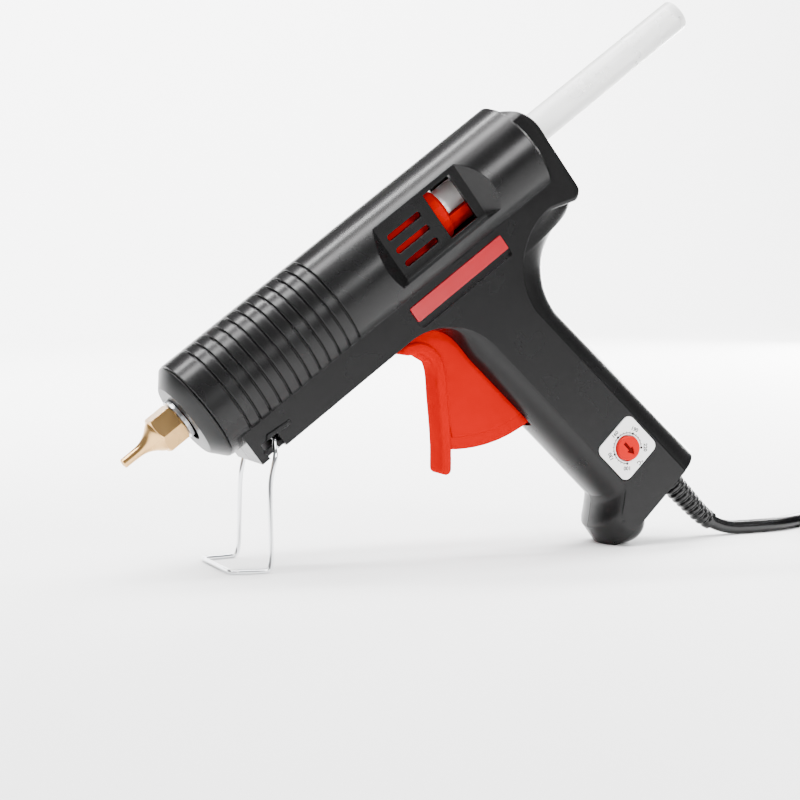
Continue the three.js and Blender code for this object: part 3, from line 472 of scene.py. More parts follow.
def moulded(
    name, colour, roughness, spread=0.08, grain=0.03, grain_scale=2600.0, coat=0.0, rounding=0.35,
    metallic=0.0, tint=0.12, mottling=60.0, shine=0.5,
):
    """A surface with slightly uneven gloss and colour, a fine grain and softly rounded edges."""
    material, tree, shader = principled(name)
    nodes, links = tree.nodes, tree.links
    place_in = nodes.new("ShaderNodeTexCoord").outputs["Object"]

    broad = nodes.new("ShaderNodeTexNoise")
    broad.inputs["Scale"].default_value = mottling
    broad.inputs["Detail"].default_value = 6
    links.new(place_in, broad.inputs["Vector"])

    gloss = nodes.new("ShaderNodeMapRange")
    gloss.inputs["From Min"].default_value = 0.3
    gloss.inputs["From Max"].default_value = 0.7
    gloss.inputs["To Min"].default_value = max(0.02, roughness - spread)
    gloss.inputs["To Max"].default_value = roughness + spread
    links.new(broad.outputs["Fac"], gloss.inputs["Value"])
    links.new(gloss.outputs["Result"], shader.inputs["Roughness"])

    shade = nodes.new("ShaderNodeMix")
    shade.data_type = "RGBA"
    shade.inputs["A"].default_value = (*[channel * (1 - tint) for channel in colour], 1)
    shade.inputs["B"].default_value = (*[min(1, channel * (1 + tint)) for channel in colour], 1)
    links.new(broad.outputs["Fac"], shade.inputs["Factor"])
    links.new(shade.outputs["Result"], shader.inputs["Base Color"])

    fine = nodes.new("ShaderNodeTexNoise")
    fine.inputs["Scale"].default_value = grain_scale
    fine.inputs["Detail"].default_value = 3
    links.new(place_in, fine.inputs["Vector"])
    bump = nodes.new("ShaderNodeBump")
    bump.inputs["Strength"].default_value = grain
    bump.inputs["Distance"].default_value = 0.0002
    links.new(fine.outputs["Fac"], bump.inputs["Height"])
    if rounding:
        edge = nodes.new("ShaderNodeBevel")
        edge.samples = 4
        edge.inputs["Radius"].default_value = rounding * MM
        links.new(edge.outputs["Normal"], bump.inputs["Normal"])
    links.new(bump.outputs["Normal"], shader.inputs["Normal"])

    shader.inputs["Metallic"].default_value = metallic
    shader.inputs["Specular IOR Level"].default_value = shine
    shader.inputs["Coat Weight"].default_value = coat
    shader.inputs["Coat Roughness"].default_value = 0.12
    return material


def milky(name, colour):
    """Translucent hot-melt glue: cloudy inside, with a waxy surface."""
    material = moulded(name, colour, 0.3, grain=0.05, grain_scale=900.0, rounding=0.0, tint=0.03)
    shader = material.node_tree.nodes["Principled BSDF"]
    shader.inputs["Transmission Weight"].default_value = 0.45
    shader.inputs["IOR"].default_value = 1.48
    shader.inputs["Subsurface Weight"].default_value = 0.6
    shader.inputs["Subsurface Radius"].default_value = (1, 1, 1)
    shader.inputs["Subsurface Scale"].default_value = 0.006
    return material


def lens_with_painted_glow(name, colour):
    """Tinted light-bar plastic with a painted glow: a faint red emission, though the bar is no lamp."""
    material = moulded(name, colour, 0.22, spread=0.04, grain=0.01, rounding=0.2, coat=0.4)
    shader = material.node_tree.nodes["Principled BSDF"]
    # Painted glow: a faint red emission makes the lens shine as if lit, though nothing here is a lamp.
    shader.inputs["Emission Color"].default_value = (1.0, 0.002, 0.03, 1)
    shader.inputs["Emission Strength"].default_value = 0.12
    return material


SURFACES = {
    "black_plastic": dict(
        colour=(0.0042, 0.0042, 0.0044), roughness=0.26, spread=0.03, grain=0.02, shine=0.22,
    ),
    "nose_black": dict(
        colour=(0.002, 0.002, 0.0022), roughness=0.34, spread=0.05, grain=0.05, shine=0.25,
    ),
    "brass": dict(
        colour=(0.66, 0.4, 0.16), roughness=0.24, metallic=1.0,
        grain=0.05, grain_scale=1800.0, rounding=0.25,
    ),
    "steel": dict(colour=(0.56, 0.57, 0.59), roughness=0.3, metallic=1.0, grain=0.05, rounding=0.15),
    "aluminium": dict(
        colour=(0.62, 0.63, 0.65), roughness=0.42, metallic=1.0, grain=0.12, grain_scale=1500.0,
    ),
    "chrome": dict(
        colour=(0.8, 0.81, 0.83), roughness=0.12, spread=0.04, metallic=1.0, grain=0.01, rounding=0.0,
    ),
    "red_plastic": dict(colour=(0.42, 0.0008, 0.0006), roughness=0.36, spread=0.05, grain=0.02, shine=0.0),
    "knob_red": dict(colour=(0.5, 0.002, 0.001), roughness=0.4, grain=0.02, rounding=0.2, shine=0.08),
    "label_white": dict(colour=(0.95, 0.95, 0.94), roughness=0.42, grain=0.02, rounding=0.15, tint=0.02),
    "silicone": dict(colour=(0.5, 0.06, 0.03), roughness=0.6, grain=0.15, grain_scale=1400.0),
    "ceramic": dict(colour=(0.75, 0.69, 0.58), roughness=0.7, grain=0.2, grain_scale=1600.0),
    "board_green": dict(
        colour=(0.015, 0.16, 0.05), roughness=0.35, grain=0.05, coat=0.3, tint=0.3, mottling=220.0,
    ),
    "lead_sleeve": dict(
        colour=(0.68, 0.65, 0.57), roughness=0.8, grain=0.5, grain_scale=3600.0, rounding=0.0,
    ),
    "cord_rubber": dict(
        colour=(0.003, 0.003, 0.0032), roughness=0.24, spread=0.04, grain=0.03, rounding=0.2, shine=0.4,
    ),
    "print_black": dict(colour=(0.002, 0.002, 0.002), roughness=0.6, grain=0.0, rounding=0.0, shine=0.1),
    # Painted shade: a darker red for the floor of the knob's sunk arrow.
    "arrow_painted_shade": dict(colour=(0.09, 0.0005, 0.0005), roughness=0.5, grain=0.0, rounding=0.0, shine=0.05),
}
MATERIALS = {name: moulded(name, **look) for name, look in SURFACES.items()}
# The light-bar lens, with a painted glow from a faint red emission.
MATERIALS["crimson_lens"] = lens_with_painted_glow("crimson_lens", (0.28, 0.0004, 0.006))
MATERIALS["glue"] = milky("glue", (0.9, 0.9, 0.89))


# -------------------- cord: the route, then the pieces on it

LEAN = Vector((HANDLE_LEAN, 0, -1)).normalized()


def base_height(x):
    """The height of the handle's flat end, in the gun's frame."""
    return BASE[1] - (BASE[0] - x) * BASE_SLOPE


BOOT_START = GUN @ Vector((BOOT_X, 0, base_height(BOOT_X)))
BOOT_HEADING = (GUN.to_3x3() @ LEAN).normalized()
BOOT_SLOPE = math.atan2(-BOOT_HEADING.z, BOOT_HEADING.x)
BOOT_STRAIGHT = (BOOT_START.z - CORD_RADIUS - CORD_BEND * (1 - math.cos(BOOT_SLOPE))) / math.sin(BOOT_SLOPE)
LEVEL_AT = BOOT_STRAIGHT + CORD_BEND * BOOT_SLOPE


def leaving(distance):
    """A point on the cord by its distance from the handle: straight, then bending level with the floor."""
    straight = min(distance, BOOT_STRAIGHT)
    bend = min(BOOT_SLOPE, max(0.0, (distance - BOOT_STRAIGHT) / CORD_BEND))
    x = BOOT_START.x + straight * math.cos(BOOT_SLOPE)
    x += CORD_BEND * (math.sin(BOOT_SLOPE) - math.sin(BOOT_SLOPE - bend))
    z = BOOT_START.z - straight * math.sin(BOOT_SLOPE)
    z -= CORD_BEND * (math.cos(BOOT_SLOPE - bend) - math.cos(BOOT_SLOPE))
    return Vector((x, 0, z))


def on_hank(share, radius, z):
    """A point on one turn of the hank, clockwise from above, from its front end on the +y side."""
    run = HANK_REAR - HANK_FRONT
    fold = math.pi * (HANK_OUTER + HANK_INNER) / 2
    run_share = run / (run + fold) / 2
    if share < run_share:
        return Vector((HANK_FRONT + run * share / run_share, HANK_Y + radius, z))
    if share < 0.5:
        angle = math.pi / 2 - math.pi * (share - run_share) / (0.5 - run_share)
        return Vector((HANK_REAR + radius * math.cos(angle), HANK_Y + radius * math.sin(angle), z))
    if share < 0.5 + run_share:
        return Vector((HANK_REAR - run * (share - 0.5) / run_share, HANK_Y - radius, z))
    angle = -math.pi / 2 - math.pi * (share - 0.5 - run_share) / (0.5 - run_share)
    return Vector((HANK_FRONT + radius * math.cos(angle), HANK_Y + radius * math.sin(angle), z))


def hank_size(turns):
    """Radius and layer: two turns inwards, half a turn up, two outwards, half up, then inwards again."""
    if turns < 2:
        return lerp(HANK_OUTER, HANK_INNER, turns / 2), 0
    if turns < 2.5:
        return HANK_INNER, smoothstep(turns, 2, 2.5)
    if turns < 4.5:
        return lerp(HANK_INNER, HANK_OUTER, (turns - 2.5) / 2), 1
    if turns < 5:
        return HANK_OUTER, 1 + smoothstep(turns, 4.5, 5)
    middle = (HANK_OUTER + HANK_INNER) / 2
    if turns < 6:
        return lerp(HANK_OUTER, middle, turns - 5), 2
    return lerp(middle, HANK_INNER, min(1, (turns - 6) * 2)), 2


def hank_point(turns):
    """A point of the folded cord; past six turns it rises to the plug."""
    radius, layer = hank_size(turns)
    z = FIRST_LAYER + LAYER_RISE * layer
    z = lerp(z, PLUG_AT[2], smoothstep(turns, 6.05, 6.52))
    return on_hank(turns % 1, radius, z)


def cord_line():
    """The whole route: straight out of the boot, level along the floor, round the hank and into the plug."""
    points = [leaving(distance) for distance in range(0, int(LEVEL_AT), 4)]
    points.append(leaving(LEVEL_AT))
    floor = [(59, 0), (68, 1.4), (76, 4.6), (82, 8), (91, 12.6), (99, 15.2)]
    points += [Vector((TOE_FROM_ORIGIN + x, y, CORD_RADIUS)) for x, y in floor]
    per_turn = 26
    steps = int(HANK_TURNS * per_turn)
    points += [hank_point(HANK_TURNS * i / steps) for i in range(1, steps + 1)]
    points.append(Vector((PLUG_AT[0] + 6, PLUG_AT[1], PLUG_AT[2])))
    points.append(Vector((PLUG_AT[0] - 2, PLUG_AT[1], PLUG_AT[2])))
    return smooth_line(points, 3)


def make_cord():
    """The whole cord, as one curve with a round section."""
    line = cord_line()
    curve = bpy.data.curves.new("mains_cord", "CURVE")
    curve.dimensions = "3D"
    curve.bevel_depth = CORD_RADIUS * MM
    curve.bevel_resolution = 6
    curve.use_fill_caps = True
    spline = curve.splines.new("POLY")
    spline.points.add(len(line) - 1)
    for point, position in zip(spline.points, line):
        point.co = (*(position * MM), 1)
    spline.use_smooth = True
    cord = add_object("mains_cord", curve)
    curve.materials.append(MATERIALS["cord_rubber"])
    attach(cord, "gun")
    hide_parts("cord_run", "cord_hank")
    return cord


def make_boot():
    """A tapered strain relief with ring-shaped ribs."""
    steps = 16 * BOOT_RIBS

    def radius_at(share):
        taper = lerp(4.8, 3.35, share)
        collar = smoothstep(share, 0.0, 0.02) if share < 0.12 else 1.0
        ripple = 0.5 + 0.5 * math.cos(2 * math.pi * BOOT_RIBS * share)
        depth = 0.62 * smoothstep(share, 0.1, 0.16) * (1 - smoothstep(share, 0.95, 0.985))
        return taper * collar - depth * ripple ** 1.4

    line = [leaving(0.3 + (BOOT_LENGTH - 0.3) * i / steps) for i in range(steps + 1)]
    boot = sweep("strain_relief_boot", line, radius_at, 40)
    return place(boot, STANDING, "gun", "cord_rubber", ["strain_relief"], 50)


def make_tie():
    """A flat strap wrapped round one side of the hank."""
    near = HANK_Y + HANK_INNER - CORD_RADIUS
    far = HANK_Y + HANK_OUTER + CORD_RADIUS
    low = 0.8
    high = FIRST_LAYER + 2 * LAYER_RISE + CORD_RADIUS + 0.2
    middle = ((near + far) / 2, (low + high) / 2)
    rings = []
    for x, spread in [(-2.6, 0.2), (-3, 0.45), (-2.6, 0.7), (2.6, 0.7), (3, 0.45), (2.6, 0.2)]:
        outline = rounded_rectangle(middle, far - near + 2 * spread, high - low + 2 * spread, 2.6 + spread)
        rings.append([(TIE_X + x, y, z) for y, z in outline])
    rings.append(rings[0])
    tie = loft("cord_tie", rings, caps=False)
    return place(tie, STANDING, "gun", "cord_rubber", ["hank_tie"], 50)


def make_plug():
    """A flat two-pin plug body with a ribbed grip, lying on the hank with its pins towards -x."""
    edge = [(0, -3.8), (3, -4.1), (6, -5), (9.5, -6.9), (14, -9.8), (17.5, -11.9), (20.5, -PLUG_HALF_WIDTH)]
    edge += [(PLUG_LENGTH - 1.5, -PLUG_HALF_WIDTH), (PLUG_LENGTH, -PLUG_HALF_WIDTH + 1.5)]
    outline = [(PLUG_AT[0] - x, y) for x, y in edge]
    outline += [(x, -y) for x, y in reversed(outline)]
    outline = anticlockwise([(x, y + PLUG_AT[1]) for x, y in outline])
    low = PLUG_AT[2] - PLUG_THICKNESS / 2
    high = low + PLUG_THICKNESS
    layers = rounded_layers(low, high, 2.2, 5)
    plug = loft("plug_shell", [[(x, y, z) for x, y in inset(outline, depth)] for z, depth in layers])
    grooves = []
    for i in range(4):
        x = PLUG_AT[0] - 12.5 - 2.6 * i
        grooves.append(box("groove", (x - 0.5, -70, high - 0.7), (x + 0.5, 0, high + 1)))
    subtract(plug, *grooves)
    return place(plug, STANDING, "gun", "cord_rubber", ["plug_body"], 40)


def make_cord_set():
    """The cord with its boot, tie and plug."""
    cord = make_cord()
    make_boot()
    make_tie()
    plug = make_plug()
    tuple(leaving(0) * MM)


make_cord_set()


# -------------------- housing

def circle_x(centre, radius, z):
    """Where a circle's front half stands at a height."""
    return centre[0] - math.sqrt(max(0.0, radius ** 2 - (z - centre[1]) ** 2))


def front_edge(z):
    """Where the handle's flat side starts at the front."""
    if z > KEEL_BOTTOM:
        return ARCH_CENTRE[0]
    if z > FRONT_LINE[1]:
        return ARCH_CENTRE[0] + math.sqrt(ARCH_RADIUS ** 2 - (z - ARCH_CENTRE[1]) ** 2)
    straight = FRONT_LINE[0] - (z - FRONT_LINE[1]) * HANDLE_LEAN
    if z > TOE_TOP:
        return straight
    share = min(1.0, (TOE_TOP - z) / (TOE_TOP - TOE_BOTTOM))
    return lerp(straight, TOE_FRONT_X, share)


def front_rounding(z):
    """How far the handle's rounded front reaches ahead of its flat side."""
    return lerp(1, FRONT_ROUNDING, smoothstep(-z, 24, 48))


def back_edge(z):
    """Where the handle's flat side ends at the back."""
    if z > NECK_TOP:
        return BODY_REAR - BLOCK_EDGE
    if z > NECK_CENTRE[1]:
        return circle_x(NECK_CENTRE, NECK_RADIUS, z)
    return NECK_CENTRE[0] - NECK_RADIUS - (z - NECK_CENTRE[1]) * NECK_LEAN


def back_line(z):
    """The outermost line of the handle's back."""
    if z > HORN_TOP + HORN_CORNER:
        return BODY_REAR
    if z > HORN_TOP:
        rise = z - HORN_TOP - HORN_CORNER
        return BODY_REAR - HORN_CORNER + math.sqrt(HORN_CORNER ** 2 - rise ** 2)
    if z > HORN_CENTRE[1]:
        return circle_x(HORN_CENTRE, HORN_RADIUS, z)
    return HORN_CENTRE[0] - HORN_RADIUS - (z - HORN_CENTRE[1]) * HORN_LEAN


def handle_heights(spacing):
    """Even levels down the handle, with closer ones where its outline turns quickly."""
    count = int((HANDLE_TOP - HANDLE_LOW) / spacing)
    heights = [lerp(HANDLE_TOP, HANDLE_LOW, i / count) for i in range(count + 1)]
    for level in (NECK_TOP, HORN_TOP):
        heights += [level + 0.02, level]
    for step in range(1, 8):
        heights.append(ARCH_CENTRE[1] + ARCH_RADIUS * math.cos(step / 16 * math.pi / 2))
        heights.append(HORN_TOP + HORN_CORNER * (1 - math.cos(step / 8 * math.pi / 2)))
        heights.append(HORN_TOP - 1.2 * (step / 8) ** 2)
        heights.append(NECK_TOP - 1.2 * (step / 8) ** 2)
    return sorted(set(heights), reverse=True)


def handle(inward, spacing, arc_steps):
    """Level sections, each two flat sides joined by half ellipses, cut off at the slanted base."""
    half_width = HALF_WIDTH - inward
    rings = []
    for z in handle_heights(spacing):
        ring = []
        for edge, depth, turn in (
            (back_edge(z) - inward, back_line(z) - back_edge(z), -0.5),
            (front_edge(z) + inward, front_rounding(z), 0.5),
        ):
            outward = 1 if turn < 0 else -1
            ring.append((edge - outward * CREASE, outward * half_width, z))
            for step in range(arc_steps + 1):
                phase = (step / arc_steps + turn) * math.pi
                ring.append((edge + depth * math.cos(phase), -(half_width - CREASE) * math.sin(phase), z))
            ring.append((edge - outward * CREASE, -outward * half_width, z))
        rings.append(ring)
    solid = loft("handle", rings)
    low = -170
    under = [(100, low), (200, low), (200, base_height(200) + inward), (100, base_height(100) + inward)]
    return subtract(solid, prism("under", under, -30, 30))


def rear_block(inward):
    """The flat-sided block behind the barrel, rounded over its top."""
    half_width = HALF_WIDTH - inward
    rear = BODY_REAR - inward
    top = BLOCK_TOP - inward
    corner = BLOCK_UPPER_CORNER - inward
    bottom = BLOCK_BOTTOM + inward
    lower = BLOCK_LOWER_CORNER - inward
    outline = [(BLOCK_FRONT, bottom + BLOCK_BOTTOM_RISE)]
    outline += arc((rear - lower, bottom + lower), lower, -90, 0, 10)
    outline += arc((rear - corner, top - corner), corner, 0, 90, 20)
    outline.append((BLOCK_FRONT, top))
    slab = prism("rear_block", outline, -half_width, half_width, 0 if inward else BLOCK_EDGE, 4)
    round_radius = BLOCK_ROUND_RADIUS - inward
    ahead, behind = BLOCK_FRONT - 10, BODY_REAR + 10
    profile = [(ahead, 0), (ahead, round_radius), (behind, round_radius), (behind, 0)]
    keep = turned("keep", profile, 128, -BARREL_DROP)
    union(keep, box("below", (ahead - 1, -30, -40), (behind + 1, 30, -BARREL_DROP)))
    return intersect(slab, keep)


def barrel():
    """The round barrel, with the rings that stiffen its front half."""
    front_chamfer = 0.5
    rear_chamfer = 1.1
    profile = [(BARREL_FRONT, 0), (BARREL_FRONT, BARREL_RADIUS - front_chamfer)]
    profile.append((BARREL_FRONT + front_chamfer, BARREL_RADIUS))
    for i in range(GROOVE["count"]):
        x = GROOVE["first"] + GROOVE["pitch"] * i
        half = [(0.55, 0), (0.3, 0.25), (0.22, GROOVE["depth"])]
        profile += [(x - across, BARREL_RADIUS - depth) for across, depth in half]
        profile += [(x + across, BARREL_RADIUS - depth) for across, depth in reversed(half)]
    profile += [(BARREL_REAR - rear_chamfer, BARREL_RADIUS), (BARREL_REAR, BARREL_RADIUS - rear_chamfer)]
    profile.append((BARREL_REAR, 0))
    return turned("barrel", profile, 160, -BARREL_DROP)


def toe():
    """The rounded toe: discs across the handle, widest at its middle."""
    steps = 24
    segments = 48
    rings = []
    for step in range(steps + 1):
        y = -math.cos(step / steps * math.pi) * HALF_WIDTH
        bulge = math.sqrt(max(0.0, 1 - (y / HALF_WIDTH) ** 2))
        radius = TOE_END_RADIUS + (TOE_RADIUS - TOE_END_RADIUS) * bulge
        rings.append([(x, y, z) for x, z in circle(TOE, radius, segments)])
    return loft("toe", rings)


def below_pad():
    """The space under the floor, seen from the tilted gun: it trims the toe's flat pad."""
    slab = box("below_pad", (-30, -30, -20), (30, 30, 0))
    down = Vector((-math.sin(TILT), 0, -math.cos(TILT))) * (TOE_RADIUS - TOE_PAD_DEPTH)
    move = Matrix.Translation(Vector((TOE[0], 0, TOE[1])) + down) @ Matrix.Rotation(TILT, 4, "Y")
    slab.data.transform(move)
    return slab


def outside():
    """The housing's outer shape, both halves in one."""
    solid = barrel()
    keel = box("keel", (KEEL_FRONT, -HALF_WIDTH, KEEL_BOTTOM), (KEEL_REAR, HALF_WIDTH, KEEL_TOP))
    union(solid, keel, rear_block(0), handle(0, 1.2, 20), toe())
    return subtract(solid, below_pad())


def inside():
    """The hollow in the housing: the outer shapes drawn in by the wall, and further in at the recesses."""
    tube = [(BARREL_FRONT + WALL, 0), (BARREL_FRONT + WALL, BARREL_RADIUS - WALL),
            (BARREL_REAR - WALL, BARREL_RADIUS - WALL), (BARREL_REAR - WALL, 0)]
    solid = turned("inside", tube, 64, -BARREL_DROP)
    for side in (-1, 1):
        floor = sorted((side * (RECESS["depth_at"] - 1.5), side * 30))
        subtract(solid, box("floor", (RECESS["front"] - 8, floor[0], RECESS["bottom"] - 2.5),
                            (RECESS["rear"] + 8, floor[1], RECESS["top"] + 2.5)))
    narrow = HALF_WIDTH - WALL
    keel = box("keel", (KEEL_FRONT + WALL, -narrow, KEEL_BOTTOM + WALL), (KEEL_REAR, narrow, KEEL_TOP))
    return union(solid, keel, handle(WALL, 4, 8), rear_block(WALL))


def recess(side):
    """The trough in the barrel's side: a flat floor with sloping ends."""
    depth = 12
    front, rear, floor = RECESS["front"], RECESS["rear"], RECESS["depth_at"]
    corners = [(front, floor), (rear, floor), (rear + depth, floor + depth), (front - depth, floor + depth)]
    rings = [[(x, side * y, z) for x, y in corners] for z in (RECESS["bottom"], RECESS["top"])]
    return loft("recess", rings)


def side_cuts(side):
    """One side's openings: recess, window, slots, the light bar's pocket and the stand's notch."""
    skin = sorted((side * 9, side * 16))
    cuts = [recess(side)]
    window_low = (WINDOW["front"], skin[0], WINDOW["bottom"])
    window_high = (WINDOW["rear"], skin[1], WINDOW["top"])
    cuts.append(box("window", window_low, window_high))
    length, height = SLOT["rear"] - SLOT["front"], SLOT["height"]
    for row in range(3):
        centre = ((SLOT["front"] + SLOT["rear"]) / 2, SLOT["first"] + row * SLOT["pitch"])
        outline = rounded_rectangle(centre, length, height, height / 2 - 0.01)
        cuts.append(prism("slot", outline, *skin))
    deep = sorted((side * (HALF_WIDTH - BAR["depth"]), side * (HALF_WIDTH + 8)))
    centre = ((BAR["front"] + BAR["rear"]) / 2, BAR["top"] - BAR["pocket"] / 2)
    pocket = rounded_rectangle(centre, BAR["rear"] - BAR["front"], BAR["pocket"], 1.2)
    cuts.append(prism("pocket", pocket, *deep))
    notch = sorted((side * 9.5, side * 16))
    x, z = STAND_PIVOT
    cuts.append(box("notch", (x - 5.4, notch[0], KEEL_BOTTOM - 4), (x + 1.6, notch[1], z + 1.6)))
    return cuts


HOUSING_SCREWS = [(58, -21), (95, -20.6), (166, -19), (146.5, -62.5), (131.5, -121.5)]


def stand_lip(side):
    """The raised line that bounds the stand's notch in front and above."""
    x, z = STAND_PIVOT
    line = [(x + 6.6, z + 1.6), (x - 1.4, z + 2.4), (x - 5.4, z - 1.5)]
    ends = sorted((side * (HALF_WIDTH - 0.6), side * (HALF_WIDTH + 0.8)))
    bars = []
    for start, end in zip(line, line[1:]):
        middle = ((start[0] + end[0]) / 2, (start[1] + end[1]) / 2)
        length = math.dist(start, end) + 1.4
        angle = math.atan2(end[1] - start[1], end[0] - start[0])
        bars.append(prism("lip", rounded_rectangle(middle, length, 1.4, 0.5, angle), *ends, 0.25, 2))
    return bars


def along_handle(name, start, end, radius):
    """A straight round bar along the handle's axis, by distances below its flat end."""
    origin = Vector((BOOT_X, 0, base_height(BOOT_X)))
    return sweep(name, [origin + LEAN * start, origin + LEAN * end], lambda share: radius, 48)


def make_housing():
    """The hollow shell with its bosses and openings, split into two halves along the middle."""
    shell = subtract(outside(), inside())
    bosses = []
    for x, z in HOUSING_SCREWS:
        bosses.append(rod_across("boss", x, z, 5, HALF_WIDTH - 0.6, 3.7, 24))
    union(shell, *bosses, *stand_lip(-1), *stand_lip(1))

    trigger_slot = [(99.2, -23), (128, -23), (128, -79.5), (108, -79.5), (99.2, -42)]
    label = rounded_rectangle(LABEL, LABEL_WIDTH + 0.5, LABEL_LENGTH + 0.5, LABEL_CORNER, LABEL_TURN)
    cuts = [
        *side_cuts(-1),
        *side_cuts(1),
        turned("nose_hole", [(27, 0), (27, 14.6), (33, 14.6), (33, 0)], 64, -BARREL_DROP),
        turned("stick_hole", [(172, 0), (172, 9.3), (186, 9.3), (186, 0)], 64),
        prism("trigger_slot", trigger_slot, -TRIGGER_HALF - 0.8, TRIGGER_HALF + 0.8),
        box("arm_slot", (112, -6.9, -24), (136, 6.9, -16)),
        prism("label_pocket", label, -HALF_WIDTH - 2, -HALF_WIDTH + 0.8),
        rod_across("knob_hole", *LABEL, -HALF_WIDTH - 2, -HALF_WIDTH + 4, KNOB_RADIUS + 0.5),
        along_handle("cord_hole", -8, 3, 4.1),
        along_handle("boot_seat", -1.2, 3, 5.2),
    ]
    for x, z in HOUSING_SCREWS:
        cuts.append(rod_across("well", x, z, HALF_WIDTH - 3.2, HALF_WIDTH + 6, 3.2, 32))
    subtract(shell, *cuts)

    right = copy_of(shell, "housing_right_shell")
    half_gap = 0.12
    intersect(shell, box("half", (0, -40, -200), (260, -half_gap, 60)))
    intersect(right, box("half", (0, half_gap, -200), (260, 40, 60)))
    shell.name = "housing_left_shell"
    place(shell, GUN, "gun", "black_plastic", ["housing_left"], 28)
    place(right, GUN, "gun", "black_plastic", ["housing_right"], 28)
    for half in (shell, right):
        even = half.modifiers.new("even_normals", "WEIGHTED_NORMAL")
        even.keep_sharp = True


make_housing()


# -------------------- nose, nozzle and stick

def make_nose_cap():
    """The hollow ring at the front of the barrel."""
    profile = [
        (24.4, 7.6), (24.4, 13.1), (24.7, 13.6), (28.5, 17.9), (29.1, 18.2), (29.1, 14.3), (33.4, 14.3),
        (33.4, 12.3), (27.4, 12.3), (27.4, 7.6), (24.4, 7.6),
    ]
    cap = turned("nose_cap_shell", profile, 128, -BARREL_DROP)
    place(cap, GUN, "gun", "nose_black", ["nose_cap"], 30)


def make_nozzle():
    """A hexagon with a flared outlet in front, a thread behind and a bore right through."""
    across_flats = 12
    corners = circle((0, 0), across_flats / math.sqrt(3), 6)
    hexagon = loft("nozzle_brass", [[(x, y, z) for y, z in corners] for x in (14.2, 22.5)])
    rounded = [(14.2, 0), (14.2, 6.1), (15.1, 7.2), (21.9, 7.2), (22.5, 6.3), (22.5, 0)]
    chamfer = turned("chamfer", rounded, 96)
    intersect(hexagon, chamfer)
    flare = turned("flare", [
        (0, 0), (0, 1.35), (0.3, 1.65), (3.5, 1.68), (6.5, 1.78), (7.8, 1.98), (8.9, 2.28), (10, 2.75),
        (11.1, 3.38), (12.1, 4.15), (13, 4.95), (13.8, 5.5), (14.5, 5.75), (14.5, 0),
    ], 96)
    thread = turned("thread", [(22.4, 0), (22.4, 4), (32, 4), (32, 0)], 48)
    bore = turned("bore", [(-1, 0), (-1, 0.8), (14, 0.8), (22, 2), (33, 2), (33, 0)], 48)
    union(hexagon, flare, thread)
    subtract(hexagon, bore)
    place(hexagon, GUN, "gun", "brass", ["nozzle"], 28)


def make_glue_stick():
    """A round stick with softened ends."""
    stick = turned("glue_stick_body", [
        (66, 0), (66, 5.2), (66.4, 5.6), (250.4, 5.6), (250.85, 5.42), (251, 5.0), (251, 0),
    ], 96)
    place(stick, GUN, "stick", "glue", ["glue_stick"], 40)


make_nose_cap()
make_nozzle()
make_glue_stick()


# -------------------- trigger

def make_trigger():
    """Finger flange, sector plate, hub and the arm that moves the carriage, in one moulding."""
    x, z = TRIGGER_PIVOT

    def sector(radius):
        """The plate between the flange and the round edge that slides into the handle."""
        outline = [polar(TRIGGER_PIVOT, 23, 174), (104, -42)]
        outline += arc(TRIGGER_PIVOT, radius, 231, 271, 40)
        return outline + [(x + 5.8, z), (x, z + 5.8)]

    trigger = prism("trigger_lever", sector(TRIGGER_RIM), -TRIGGER_HALF, TRIGGER_HALF)
    rim = prism("rim", sector(TRIGGER_REACH), -TRIGGER_HALF + 0.3, TRIGGER_HALF - 0.3)
    flange_line = [(98.6, -30.4), (102.6, -32.6), (104.7, -36.6), (104.3, -41.6), (98.4, -51.8)]
    flange_line += [(90, -65.2), (85.3, -71.6)]
    flange = prism("flange", stroke(flange_line, 1.9, 8), -5.6, 5.6, 1.1, 4)
    hub = rod_across("hub", x, z, -TRIGGER_HALF - 0.1, TRIGGER_HALF + 0.1, 6)
    arm_length = 18.7
    lean = math.radians(12.5)
    arm_end = (x + arm_length * math.sin(lean), z + arm_length * math.cos(lean))
    arm_middle = ((x + arm_end[0]) / 2, (z + arm_end[1]) / 2)
    arm = prism("arm", stroke([TRIGGER_PIVOT, arm_middle, arm_end], 2.3, 4), -3, 3)
    union(trigger, rim, flange, hub, arm)
    pin_hole = rod_across("pin_hole", x, z, -8, 8, 2.3)
    end_hole = rod_across("end_hole", *arm_end, -8, 8, 1.52, 24)
    subtract(trigger, pin_hole, end_hole)
    place(trigger, GUN, "trigger", "red_plastic", ["trigger"], 28)


make_trigger()


# -------------------- dial

def join(name, objects):
    """One object from several."""
    mesh = bmesh.new()
    for obj in objects:
        mesh.from_mesh(obj.data)
        bpy.data.objects.remove(obj)
    data = bpy.data.meshes.new(name)
    mesh.to_mesh(data)
    mesh.free()
    return add_object(name, data)


FACE = -HALF_WIDTH - 0.2
SCALE_MIDDLE = 98
SCALE_SWEEP = 270
SCALE_RADIUS = 5.5
WORD_RADIUS = 7.0


def printed_word(word, size, centre, degrees):
    """Flat printed characters on the label, centred on a point and turned in its plane."""
    curve = bpy.data.curves.new("word", "FONT")
    curve.body = word
    curve.size = size
    curve.align_x = "CENTER"
    curve.align_y = "CENTER"
    curve.extrude = 0.02
    curve.offset = 0.06
    curve.resolution_u = 3
    text = add_object("word", curve)
    graph = bpy.context.evaluated_depsgraph_get()
    mesh = bpy.data.meshes.new_from_object(text.evaluated_get(graph))
    bpy.data.objects.remove(text)
    upright = Matrix.Rotation(math.pi / 2, 4, "X") @ Matrix.Rotation(math.radians(degrees), 4, "Z")
    mesh.transform(Matrix.Translation((centre[0], FACE, centre[1])) @ upright)
    return add_object("word", mesh)


